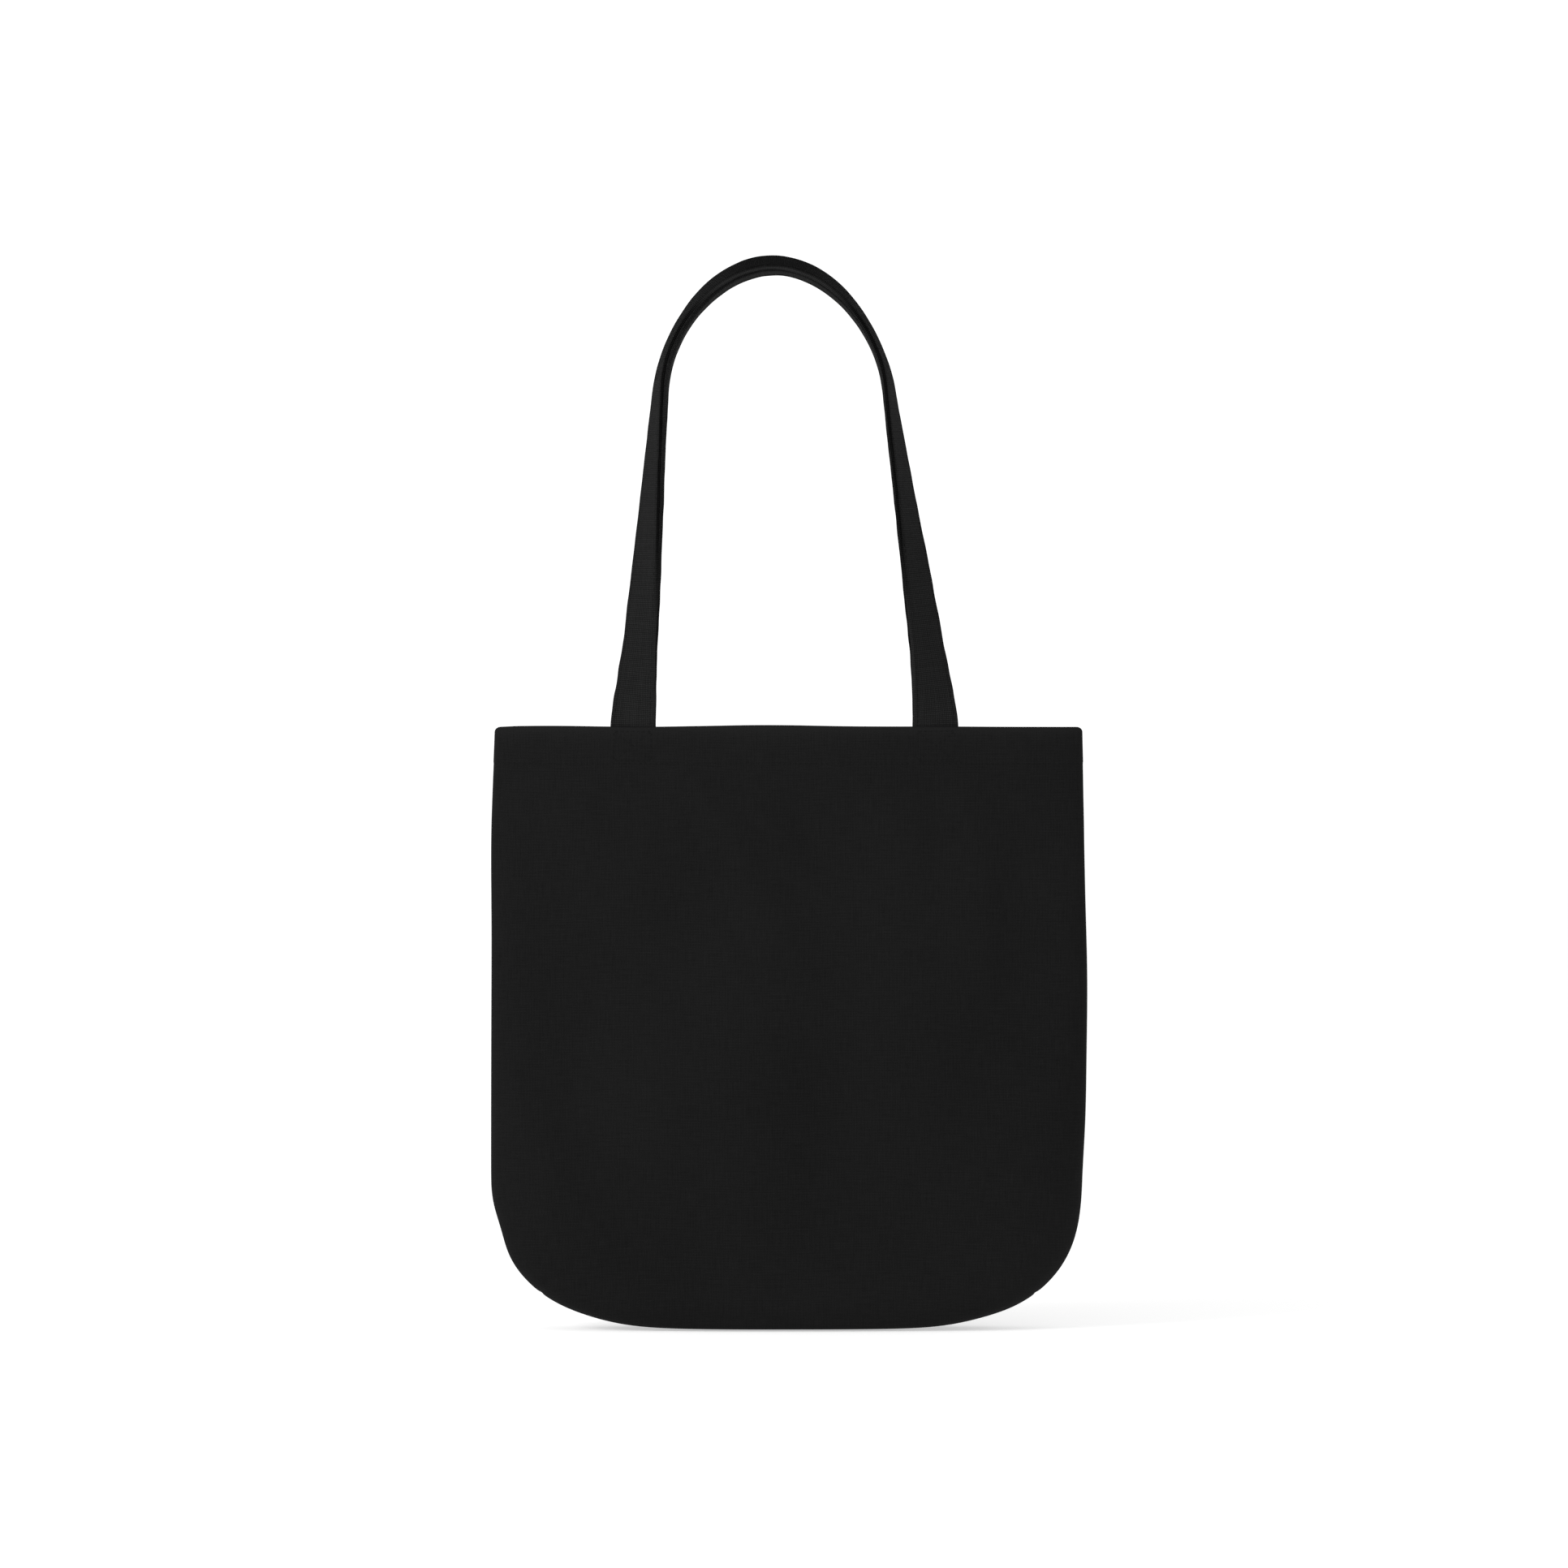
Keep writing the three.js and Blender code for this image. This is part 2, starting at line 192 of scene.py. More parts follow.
def interpolated(grid, rows, columns):
    """A coarse grid's values at fractional rows and columns, by Catmull-Rom in both directions."""

    def weights(position, count):
        base = np.clip(np.floor(position).astype(int), 0, count - 2)
        t = position - base
        picks = [np.clip(base + k, 0, count - 1) for k in (-1, 0, 1, 2)]
        parts = [
            ((2 - t) * t - 1) * t / 2,
            ((3 * t - 5) * t * t + 2) / 2,
            ((4 - 3 * t) * t + 1) * t / 2,
            (t - 1) * t * t / 2,
        ]
        return picks, parts

    picks, parts = weights(rows, grid.shape[0])
    by_row = sum(p[:, None, None] * grid[k] for k, p in zip(picks, parts))
    picks, parts = weights(columns, grid.shape[1])
    return sum(p[None, :, None] * by_row[:, k] for k, p in zip(picks, parts))


def soft_noise(point, size, seed):
    """Smooth noise of about -1 to 1 that changes over a given distance."""
    place = Vector((point[0] / size + seed, point[1] / size - seed, point[2] / size + 2 * seed))
    return noise.noise(place) * 2


def distances(line):
    """How far along a line each of its points is."""
    return np.concatenate([[0], np.cumsum(np.linalg.norm(np.diff(line, axis=0), axis=1))])


# ---- meshes ----
def make_object(name, points, faces, uvs=None, shades=None, sharp=50):
    """An object from points, faces and, per point, a cloth coordinate and a tone value: rubbed
    cloth, and on the straps painted shade and light.
    """
    mesh = bpy.data.meshes.new(name)
    mesh.from_pydata([], [], [])
    points = np.asarray(points, np.float32)
    faces = np.asarray(faces, np.int32)
    mesh.vertices.add(len(points))
    mesh.vertices.foreach_set("co", points.ravel())
    mesh.loops.add(faces.size)
    mesh.loops.foreach_set("vertex_index", faces.ravel())
    mesh.polygons.add(len(faces))
    starts = np.arange(0, faces.size, faces.shape[1], dtype=np.int32)
    mesh.polygons.foreach_set("loop_start", starts)
    mesh.update(calc_edges=True)
    if uvs is not None:
        layer = mesh.uv_layers.new(name="cloth")
        layer.data.foreach_set("uv", np.asarray(uvs, np.float32)[faces.ravel()].ravel())
    if shades is not None:
        wear_and_shade = mesh.attributes.new("wear_and_shade", "FLOAT", "POINT")
        wear_and_shade.data.foreach_set("value", np.asarray(shades, np.float32))
    mesh.validate()
    mesh.shade_smooth()
    mesh.set_sharp_from_angle(angle=math.radians(sharp))
    piece = bpy.data.objects.new(name, mesh)
    bpy.context.scene.collection.objects.link(piece)
    return piece


def grid_faces(rows, columns, start=0, flip=False, wrap=False):
    """The quads of a grid of points, closed round along its columns if wrap is set."""
    i = np.arange(rows - 1)[:, None]
    j = np.arange(columns if wrap else columns - 1)[None, :]
    a = start + i * columns + j
    b = start + i * columns + (j + 1) % columns
    c = start + (i + 1) * columns + (j + 1) % columns
    d = start + (i + 1) * columns + j
    quads = np.stack(np.broadcast_arrays(a, b, c, d), -1).reshape(-1, 4)
    return quads[:, ::-1] if flip else quads


def grid_normals(points, outwards):
    """Normals of a grid of points, turned to the side of the given directions."""
    across = np.gradient(points, axis=1)
    along = np.gradient(points, axis=0)
    normals = np.cross(across, along)
    lengths = np.linalg.norm(normals, axis=2, keepdims=True)
    normals = np.where(lengths > 1e-12, normals / np.maximum(lengths, 1e-12), outwards)
    facing = np.sum(normals * outwards, axis=2, keepdims=True)
    return np.where(facing < 0, -normals, normals)


# ---- the cloth simulation ----
SIM_COLUMNS = 60
SIM_FRAMES = 36
SIM_EXCESS = 0.006  # how much larger the cloth is cut than the shape it is sewn to
SIM_SHARE = 0.65  # of the simulated movement that is kept
SIM_START = 1.6 * MM  # uneven starting shape, so that no two sides buckle alike
SIM_START_SIZE = 85 * MM
SIM_LEAST_HOLD = 0.02  # keeps the middle of the cloth from drifting
SIM_GRAVITY = 0.6
SIM_SETTINGS = {
    "quality": 6,
    "mass": 0.25,
    "tension_stiffness": 25,
    "compression_stiffness": 25,
    "shear_stiffness": 12,
    "bending_stiffness": 40,
    "tension_damping": 10,
    "compression_damping": 10,
    "shear_damping": 10,
    "bending_damping": 1.0,
    "air_damping": 4,
    "vertex_group_mass": "hold",
    "pin_stiffness": 1.0,
    "shrink_min": -SIM_EXCESS,
    "shrink_max": -SIM_EXCESS,
}


def simulate_wrinkles():
    """How far the cloth moves from its smooth shape: one coarse grid for each panel.

    The cloth is cut slightly larger than the shape that it is sewn to, is held at the hem, the
    side seams and the base, and buckles in between.
    """
    columns = np.linspace(0, 1, SIM_COLUMNS + 1)
    rows = np.arange(ROWS + 1)
    grids = {side: panel_points(rows, columns, side)[0] for side in FACING}
    stacked = np.concatenate([grids[side].reshape(-1, 3) for side in FACING])
    start = [SIM_START * soft_noise(p, SIM_START_SIZE, 11) for p in stacked]
    rounded = np.round(stacked / (0.02 * MM)).astype(int)
    _, first, back = np.unique(rounded, axis=0, return_index=True, return_inverse=True)
    back = back.ravel()
    points = stacked[first]
    begun = points.copy()
    begun[:, 1] += np.array(start)[first] * smooth(np.abs(points[:, 1]), 0, 20 * MM)
    count = len(rows) * len(columns)
    faces = np.concatenate(
        [
            grid_faces(len(rows), len(columns)),
            grid_faces(len(rows), len(columns), start=count, flip=True),
        ]
    )
    faces = back[faces]
    mesh = bpy.data.meshes.new("cloth_sim")
    clean = []
    for face in faces.tolist():
        corners = list(dict.fromkeys(face))
        if len(corners) > 2:
            clean.append(corners)
    mesh.from_pydata(points.tolist(), [], clean)
    mesh.update()
    cloth_object = bpy.data.objects.new("cloth_sim", mesh)
    bpy.context.scene.collection.objects.link(cloth_object)

    z = points[:, 2]
    width = section(z)[0]
    from_hem = smooth(z, HEIGHT - 62 * MM, HEIGHT - 22 * MM)
    from_side = 1 - smooth(width - np.abs(points[:, 0]), 1 * MM, 16 * MM)
    on_base = 1 - smooth(z, 1 * MM, 14 * MM)
    least = np.full(len(z), SIM_LEAST_HOLD)
    hold = np.clip(np.maximum.reduce([from_hem, from_side, on_base, least]), 0, 1)
    group = cloth_object.vertex_groups.new(name="hold")
    for index, weight in enumerate(hold):
        group.add([index], float(weight), "REPLACE")

    cloth_object.shape_key_add(name="smooth")
    uneven = cloth_object.shape_key_add(name="uneven")
    uneven.data.foreach_set("co", begun.astype(np.float32).ravel())
    uneven.value = 1.0

    modifier = cloth_object.modifiers.new("cloth", "CLOTH")
    settings = modifier.settings
    for name, value in SIM_SETTINGS.items():
        setattr(settings, name, value)
    settings.effector_weights.gravity = SIM_GRAVITY
    modifier.collision_settings.use_collision = False
    scene = bpy.context.scene
    modifier.point_cache.frame_start = 1
    modifier.point_cache.frame_end = SIM_FRAMES
    for frame_number in range(1, SIM_FRAMES + 1):
        scene.frame_set(frame_number)
    graph = bpy.context.evaluated_depsgraph_get()
    result = cloth_object.evaluated_get(graph).to_mesh()
    moved = np.zeros(len(points) * 3, np.float32)
    result.vertices.foreach_get("co", moved)
    moved = moved.reshape(-1, 3).astype(float)
    cloth_object.evaluated_get(graph).to_mesh_clear()
    bpy.data.objects.remove(cloth_object)
    bpy.data.meshes.remove(mesh)
    scene.frame_set(1)
    shift = (moved - points)[back]
    shape = (len(rows), len(columns), 3)
    return {
        side: shift[i * count : (i + 1) * count].reshape(shape) for i, side in enumerate(FACING)
    }


# ---- the panels ----
# Where the grid's lines crowd together: distances from a seam, and heights from the hem's edge.
SEAM_STEPS = np.array([0, 0.35, 0.8, 1.4, 2.2, 3.2, 4.6, 6.4]) * MM
HEM_STEPS = np.array([-2.6, -1.6, -0.8, -0.25, 0.25, 0.7, 1.1, 1.5, 1.9, 2.5, 3.4]) * MM
FINE_STEP = 2.1 * MM
GROOVE_DEPTH = 0.9 * MM
GROOVE_WIDTH = 1.1 * MM
SEAM_UPRIGHT = (5 * MM, 30 * MM)  # heights where the seam turns from the base up the side
CORNER_GROOVE_DEPTH = 0.5 * MM
CORNER_GROOVE_WIDTH = 1.5 * MM
CORNER_GROOVE_END = (15 * MM, 23 * MM)  # distances from the middle plane where it fades out
CORNER_GROOVE_TOP = (50 * MM, 75 * MM)
CORNER_SEAM_SLOPE = math.radians(48)
STITCH_PITCH = 3.4 * MM
HEM_LINE = HEM_BOTTOM + 1.5 * MM
HEM_SWELL = 0.25 * MM
HEM_PULL, HEM_BEAT = 0.2 * MM, 0.1 * MM  # how far the hem's stitches draw the cloth in
HEM_PUCKER = 0.30 * MM
RIM_WAVE = 0.5 * MM
RIM_HUMP, RIM_HUMP_WIDTH = 0.9 * MM, 70 * MM
MOUTH_CORNER = 3.2 * MM
RIM_STEPS = 10
RIM_WEAR, RIM_WEAR_DEPTH = 0.8, 4 * MM
SEAM_WEAR, SEAM_WEAR_PLACE, SEAM_WEAR_WIDTH = 0.6, 2.6 * MM, 1.6 * MM
SEAM_OVERLAP = 0.05 * MM  # the panels' sewn edges pass each other, so no light gets between them


def fine_columns():
    """Shares across a panel: close together beside the side seams, even in between."""
    length = section_line(HEIGHT * 0.6)[2][-1]
    near = SEAM_STEPS / length
    middle = np.linspace(near[-1], 1 - near[-1], int(length / FINE_STEP))
    return np.concatenate([near[:-1], middle, 1 - near[:-1][::-1]])


def fine_rows():
    """Rows from the bottom seam to the mouth: close together at the seam, the hem and the rim."""
    base = np.concatenate([SEAM_STEPS, np.arange(8.6, 27, 2.2) * MM]) / BASE_HALF_DEPTH * BASE_ROWS
    corner = np.linspace(BASE_ROWS, BASE_ROWS + CORNER_ROWS, CORNER_ROWS * 4 + 1)
    heights = np.concatenate(
        [
            np.arange(CORNER_HEIGHT + FINE_STEP, HEM_BOTTOM - 3 * MM, FINE_STEP),
            HEM_BOTTOM + HEM_STEPS,
            np.arange(HEM_BOTTOM + 5 * MM, HEIGHT - 3 * MM, FINE_STEP),
            HEIGHT - np.array([2.4, 1.7, 1.35]) * MM,
        ]
    )
    return np.concatenate([base, corner, wall_row(heights)])


# Where each soft fold starts under the hem, how it leans going down, its width and its height.
FOLDS = {
    "front": [
        (-0.121, -0.10, 0.010, 0.0011),
        (-0.086, 0.42, 0.009, -0.0010),
        (-0.070, 0.50, 0.011, 0.0009),
        (0.090, 0.06, 0.010, -0.0011),
        (0.112, 0.10, 0.009, 0.0012),
        (0.137, 0.12, 0.011, -0.0009),
        (0.020, -0.10, 0.020, -0.0007),
    ],
    "back": [
        (-0.110, 0.12, 0.012, -0.0011),
        (-0.088, -0.20, 0.010, 0.0010),
        (0.095, -0.30, 0.011, 0.0011),
        (0.118, 0.08, 0.010, -0.0010),
        (-0.020, 0.15, 0.018, 0.0008),
    ],
}


def drag_folds(points, side):
    """Soft folds that the straps pull into the cloth below the hem, outwards positive."""
    x, z = points[..., 0], points[..., 2]
    below = HEIGHT - z
    fade = smooth(below, 6 * MM, 60 * MM) * (1 - smooth(below, 120 * MM, 250 * MM))
    total = np.zeros_like(x)
    for start_x, lean, width, height in FOLDS[side]:
        centre = start_x + lean * below
        total += height * np.exp(-(((x - centre) / width) ** 2)) * fade
    return total


def panel_surface(side, wrinkles, rows, columns):
    """The outside of a panel with its wrinkles, folds, seam creases and stitched hem."""
    points, arcs = panel_points(rows, columns, side)
    heights, _ = row_place(rows)
    outwards = points * np.array([0.25, 1, 0])
    outwards[..., 2] = -0.02 * (1 - smooth(points[..., 2], 0, 20 * MM)) - 1e-6
    base = outwards / np.linalg.norm(outwards, axis=2, keepdims=True)
    smooth_normals = grid_normals(points, base)
    if wrinkles is not None:
        moved = interpolated(wrinkles[side], rows, columns * SIM_COLUMNS)
        points = points + moved * SIM_SHARE
    lengths = np.array([section_line(z)[2][-1] for z in heights])
    from_side = 0.5 * lengths[:, None] - np.abs(arcs)
    x, z = points[..., 0], heights[:, None] + 0 * arcs

    out = drag_folds(points, side) * smooth(from_side, 4 * MM, 30 * MM)
    upright = smooth(z, *SEAM_UPRIGHT)
    from_seam = from_side * upright + np.abs(points[..., 1]) * (1 - upright)
    out -= GROOVE_DEPTH * np.exp(-((from_seam / GROOVE_WIDTH) ** 2))
    seam_x = float(section(np.array([CORNER_SEAM_HEIGHT]))[0][0])
    run = (np.abs(x) - seam_x) * math.cos(CORNER_SEAM_SLOPE)
    run += (z - CORNER_SEAM_HEIGHT) * math.sin(CORNER_SEAM_SLOPE)
    seam_end = np.abs(points[..., 1])
    low = (1 - smooth(z, *CORNER_GROOVE_TOP)) * (1 - smooth(seam_end, *CORNER_GROOVE_END))
    out -= CORNER_GROOVE_DEPTH * np.exp(-((run / CORNER_GROOVE_WIDTH) ** 2)) * low

    # the hem: thicker above its edge, drawn in along its stitches, and slightly puckered
    hem = smooth(z, HEM_BOTTOM - 1.5 * MM, HEM_BOTTOM + 3 * MM)
    out += HEM_SWELL * hem
    line = np.exp(-(((z - HEM_LINE) / (1.0 * MM)) ** 2))
    beat = 0.5 + 0.5 * np.cos(2 * math.pi * arcs / STITCH_PITCH)
    out -= (HEM_PULL + HEM_BEAT * beat) * line
    near_hem = np.exp(-(((z - HEM_LINE) / (11 * MM)) ** 2))
    slow = np.array([[soft_noise((a, 3.1, q), 13 * MM, 5) for a in arcs[-1]] for q in (0.0, 0.4)])
    pucker = slow[0][None, :] * near_hem + slow[1][None, :] * hem * 0.4
    out += HEM_PUCKER * pucker * smooth(from_side, 3 * MM, 12 * MM)
    points = points + smooth_normals * out[..., None]

    # the mouth's edge is a little uneven, round at the side seams and higher in the middle
    rim = smooth(z, HEM_BOTTOM, HEIGHT)
    wave = np.array([soft_noise((a, 0.7, 1.3), 60 * MM, 9) for a in arcs[-1]])
    points[..., 2] += rim * (RIM_WAVE * wave[None, :] * smooth(from_side, 2 * MM, 20 * MM))
    to_tip = np.clip((HALF_WIDTH - MOUTH_NARROWING - np.abs(x)) / MOUTH_CORNER, 0, 1)
    points[..., 2] -= rim * MOUTH_CORNER * (1 - np.sqrt(1 - (1 - to_tip) ** 2))
    points[..., 2] += rim * RIM_HUMP * np.exp(-((x / RIM_HUMP_WIDTH) ** 2))
    points[..., 0] += sway(points[..., 0], points[..., 2])
    return points, arcs, base, from_seam


def make_panel(side, wrinkles):
    """One cloth: its outside, a rounded rim, and its inside with the hem turned in."""
    rows, columns = fine_rows(), fine_columns()
    outer, arcs, base, from_seam = panel_surface(side, wrinkles, rows, columns)
    limit = -FACING[side] * SEAM_OVERLAP
    outer[:, [0, -1], 1] = limit
    outer[0, :, 1] = limit
    normals = grid_normals(outer, base)
    heights, _ = row_place(rows)
    thickness = np.where(heights > HEM_BOTTOM, HEM_CLOTH, CLOTH)[:, None, None]
    inner = outer - normals * thickness
    inner[..., 1] = FACING[side] * np.maximum(inner[..., 1] * FACING[side], -SEAM_OVERLAP)

    up = np.array([0.0, 0.0, 1.0])
    rim = []
    middle = (outer[-1] + inner[-1]) / 2
    reach = (outer[-1] - inner[-1]) / 2
    for angle in np.linspace(0, math.pi, RIM_STEPS)[1:-1]:
        rise = HEM_CLOTH / 2 * math.sin(angle)
        rim.append(middle + reach * math.cos(angle) + up * rise)
    points = np.concatenate([outer, np.array(rim), inner[::-1]])
    total, count = points.shape[0], len(columns)
    faces = grid_faces(total, count, flip=side == "back")
    size = len(rows)
    mirror = total - 1
    closing = []
    for column in (0, count - 1):
        for i in range(size + len(rim) // 2):
            quad = [i, i + 1, mirror - i - 1, mirror - i]
            if quad[1] < quad[2]:
                closing.append([k * count + column for k in quad])
    for j in range(count - 1):
        closing.append([j, j + 1, mirror * count + j + 1, mirror * count + j])
    # the weave runs straight across the base, and follows the section's length higher up
    level = smooth(heights, 6 * MM, 30 * MM)[:, None]
    across = arcs * level + outer[..., 0] * (1 - level)
    steps = np.diff(points, axis=0)
    lengthwise = np.zeros((total, count))
    lengthwise[1:] = np.cumsum(np.hypot(steps[..., 1], steps[..., 2]), axis=0)
    uvs = np.zeros((total, count, 2))
    uvs[: len(rows), :, 0] = across
    uvs[len(rows) : len(rows) + len(rim), :, 0] = arcs[-1]
    uvs[len(rows) + len(rim) :, :, 0] = across[::-1]
    uvs[..., 1] = lengthwise - lengthwise[len(rows) - 1]
    # the cloth is lighter where it has rubbed: along the mouth and beside the seams
    wear_and_shade = RIM_WEAR * np.exp(-np.abs(HEIGHT - points[..., 2]) / RIM_WEAR_DEPTH)
    edge = np.zeros_like(wear_and_shade)
    edge[: len(rows)] = np.exp(-(((from_seam - SEAM_WEAR_PLACE) / SEAM_WEAR_WIDTH) ** 2))
    wear_and_shade = np.maximum(wear_and_shade, edge * SEAM_WEAR)
    all_faces = np.concatenate([faces, np.array(closing)])
    piece = make_object(
        f"{side}_cloth", points.reshape(-1, 3), all_faces, uvs.reshape(-1, 2), wear_and_shade.ravel()
    )
    fix_normals(piece)
    surface = {"outer": outer, "inner": inner, "arcs": arcs, "heights": heights, "side": side}
    return piece, surface


def on_panel(surface, layer, arc, z):
    """A point on the outside or inside of a panel above its base, and the way out of the cloth."""
    grid, arcs, heights = surface[layer], surface["arcs"], surface["heights"]
    wall = np.argmax(heights > CORNER_HEIGHT)

    def spot(a, height):
        row = np.interp(height, heights[wall:], np.arange(wall, len(heights)))
        column = np.interp(a, arcs[int(row)], np.arange(arcs.shape[1]))
        return interpolated(grid, np.array([row]), np.array([column]))[0, 0]

    here = spot(arc, z)
    across = spot(arc + 1 * MM, z) - spot(arc - 1 * MM, z)
    along = spot(arc, z + 0.8 * MM) - spot(arc, z - 0.8 * MM)
    out = np.cross(across, along)
    out /= np.linalg.norm(out)
    ways = FACING[surface["side"]] * (1 if layer == "outer" else -1)
    return here, out if out[1] * ways > 0 else -out, across / np.linalg.norm(across)


def arc_at(x, z):
    """How far along a panel's section x is, from its middle."""
    xs, _, along = section_line(z)
    return float(np.interp(x, xs, along) - along[-1] / 2)


def fix_normals(piece):
    """Turns every face of a closed piece outwards."""
    work = bmesh.new()
    work.from_mesh(piece.data)
    bmesh.ops.recalc_face_normals(work, faces=work.faces)
    work.to_mesh(piece.data)
    work.free()
    piece.data.set_sharp_from_angle(angle=math.radians(50))


# ---- straps ----
# How far a strap's face has turned from outwards to forwards: degrees at mm above the mouth.
STRAP_TURNS = [
    (0, 81),
    (25, 58),
    (50, 46),
    (102, 34),
    (154, 22),
    (206, 13),
    (235, 8),
    (262, 9),
    (294, 17.5),
]
STRAP_STEPS = 560
LEG_SHARE = 0.62  # of half a strap's length; the rest is the arch
FOOT_CURVE = 9 * MM  # height over which a leg leaves its foot's upright line
LINE_SMOOTHING, TURN_SMOOTHING = 6, 40  # how many times neighbours are averaged
FOOT_ROOM = HEM_CLOTH + STRAP_THICKNESS / 2 + 0.45 * MM


def strap_line(side):
    """A strap's middle line from its left end to its right end, with its tangents and faces."""
    position = np.linspace(-1, 1, 1201)
    from_foot = 1 - np.abs(position)
    arch = np.sin(np.clip((from_foot - LEG_SHARE) / (1 - LEG_SHARE), 0, 1) * math.pi / 2)
    height = np.clip(from_foot / LEG_SHARE, 0, 1) * LEG_HEIGHT + ARCH_HEIGHT[side] * arch
    foot_spread = (RIGHT_FOOT - LEFT_FOOT) / 2
    foot_offset = (RIGHT_FOOT + LEFT_FOOT) / 2
    eased = height - FOOT_CURVE * (1 - np.exp(-height / FOOT_CURVE))
    spread = (foot_spread - LEG_SLOPE[side] * eased) * np.sqrt(np.clip(1 - arch**2, 0, 1))
    lean = foot_offset + STRAP_LEAN[side] * smooth(height, 0, LEAN_HEIGHT)
    x = np.sign(position) * spread + lean
    feet = half_depth_at(np.full(2, HEIGHT), np.array([LEFT_FOOT, RIGHT_FOOT])) - FOOT_ROOM
    depth = np.where(position < 0, feet[0], feet[1])
    depth = depth + (STRAP_APART - depth) * smooth(height, 0, LEG_HEIGHT)
    loop = np.stack([x, FACING[side] * depth, HEIGHT + height], axis=1)
    top = HEIGHT - HEM_BOTTOM
    down = np.linspace(top - 1 * MM, 0, 40)[:-1]
    left = np.stack([0 * down + loop[0, 0], 0 * down + loop[0, 1], HEIGHT - down], axis=1)
    right = np.stack([0 * down + loop[-1, 0], 0 * down + loop[-1, 1], HEIGHT - down], axis=1)
    line = np.concatenate([left, loop, right[::-1]])
    along = distances(line)
    at = np.linspace(0, along[-1], STRAP_STEPS + 1)
    points = np.stack([np.interp(at, along, line[:, k]) for k in range(3)], axis=1)
    for _ in range(LINE_SMOOTHING):
        points[1:-1] = points[1:-1] / 2 + (points[:-2] + points[2:]) / 4
    tangents = np.gradient(points, axis=0)
    tangents /= np.linalg.norm(tangents, axis=1, keepdims=True)
    forwards = np.array([0, FACING[side], 0])
    outwards = -FACING[side] * np.cross(forwards, tangents)
    outwards /= np.linalg.norm(outwards, axis=1, keepdims=True)
    rise = (points[:, 2] - HEIGHT) / MM
    turns = np.interp(rise, [h for h, _ in STRAP_TURNS], [t for _, t in STRAP_TURNS])
    for _ in range(TURN_SMOOTHING):
        turns[1:-1] = turns[1:-1] / 2 + (turns[:-2] + turns[2:]) / 4
    turns = np.radians(turns)[:, None]
    faces = outwards * np.cos(turns) + forwards * np.sin(turns)
    faces -= tangents * np.sum(faces * tangents, axis=1, keepdims=True)
    faces /= np.linalg.norm(faces, axis=1, keepdims=True)
    breadths = np.cross(tangents, faces)
    return points, tangents, faces, breadths, at


# Where the straps have worn, and where shade and light are painted on them: heights above the
# mouth, and levels from dark (-) to light (+).
ARCH_SHADING_HEIGHTS = (200 * MM, 262 * MM)  # from here up, the arch gets painted shade and painted light
ARCH_TOP = (284 * MM, 294 * MM)
SHADE_START, SHADE_END = (50 * MM, 130 * MM), (258 * MM, 284 * MM)
# The inner faces of the straps' legs get a painted shade.
INNER_SHADE = -0.35
# On the arch's inner faces: a painted shade on the half near the other strap, turning to a painted
# light on the far half.
UNDERSIDE_PAINTED_SHADE, UNDERSIDE_PAINTED_LIGHT, UNDERSIDE_SHADING_PLACE = -1.5, 2.6, (0.15, 0.45)
# Painted shade on the arch's outer face, darker still at its top.
ARCH_OUTSIDE_SHADE, TOP_OUTSIDE_SHADE = -0.7, -0.4
EDGE_WEAR, EDGE_SHADE, EDGE_PLACE = 0.3, 1.6, (0.8, 0.95)

# The strap's cross-section, and how uneven it is along its length.
EDGE_WIDTH = 1.2 * MM
TOPSTITCH_DEPTH, TOPSTITCH_WIDTH = 0.34 * MM, 0.55 * MM
STRAP_SWELL = 0.1 * MM
FACE_WAVE, FACE_WAVE_LENGTH = 0.11 * MM, 24 * MM
BUMP_HEIGHT, BUMP_SIZE = 0.06 * MM, 9 * MM
WIDTH_WAVE, WIDTH_WAVE_LENGTH = 0.22 * MM, 11 * MM
STITCH_DENT, STITCH_DENT_WIDTH = 0.1 * MM, 0.6 * MM
FOOT_INDEX = 20  # a step of the strap's line that lies inside the hem


def end_caps(length, count):
    """Strips that close both ends of a band whose rings have count points."""
    caps = []
    for base in (0, (length - 1) * count):
        for k in range(count // 2 - 1):
            caps.append([base + k, base + k + 1, base + count - 2 - k, base + count - 1 - k])
    return np.array(caps)


def band_uvs(across, out, along):
    """Cloth coordinates of a band: round its cross-section, and along its line."""
    uvs = np.zeros((len(along), len(across), 2))
    uvs[..., 0] = np.concatenate([[0], np.cumsum(np.hypot(np.diff(across), np.diff(out)))])
    uvs[..., 1] = along[:, None]
    return uvs.reshape(-1, 2)


def strap_profile():
    """The strap's cross-section: offsets across and out, with both lines of stitching sunk in."""
    half, thick = STRAP_WIDTH / 2, STRAP_THICKNESS / 2 - STRAP_SWELL
    line = half - TOPSTITCH_INSET
    near_line = line + np.array([0.9, 0.45, 0, -0.45, -0.9, -1.8]) * MM
    across = np.array([half - EDGE_WIDTH, *near_line, 6.5 * MM, 3.5 * MM, 1.2 * MM])
    across = np.concatenate([across, -across[::-1]])
    sunk = TOPSTITCH_DEPTH * np.exp(-(((np.abs(across) - line) / TOPSTITCH_WIDTH) ** 2))
    out = thick + STRAP_SWELL * (1 - (across / half) ** 2) - sunk
    edge_turn = np.linspace(0, math.pi, 9)[1:-1]
    edge_x = half - EDGE_WIDTH + EDGE_WIDTH * np.sin(edge_turn)
    edge_y = thick * np.cos(edge_turn)
    x = np.concatenate([across, -edge_x, across[::-1], edge_x])
    y = np.concatenate([out, edge_y, -out[::-1], -edge_y])
    return x, y


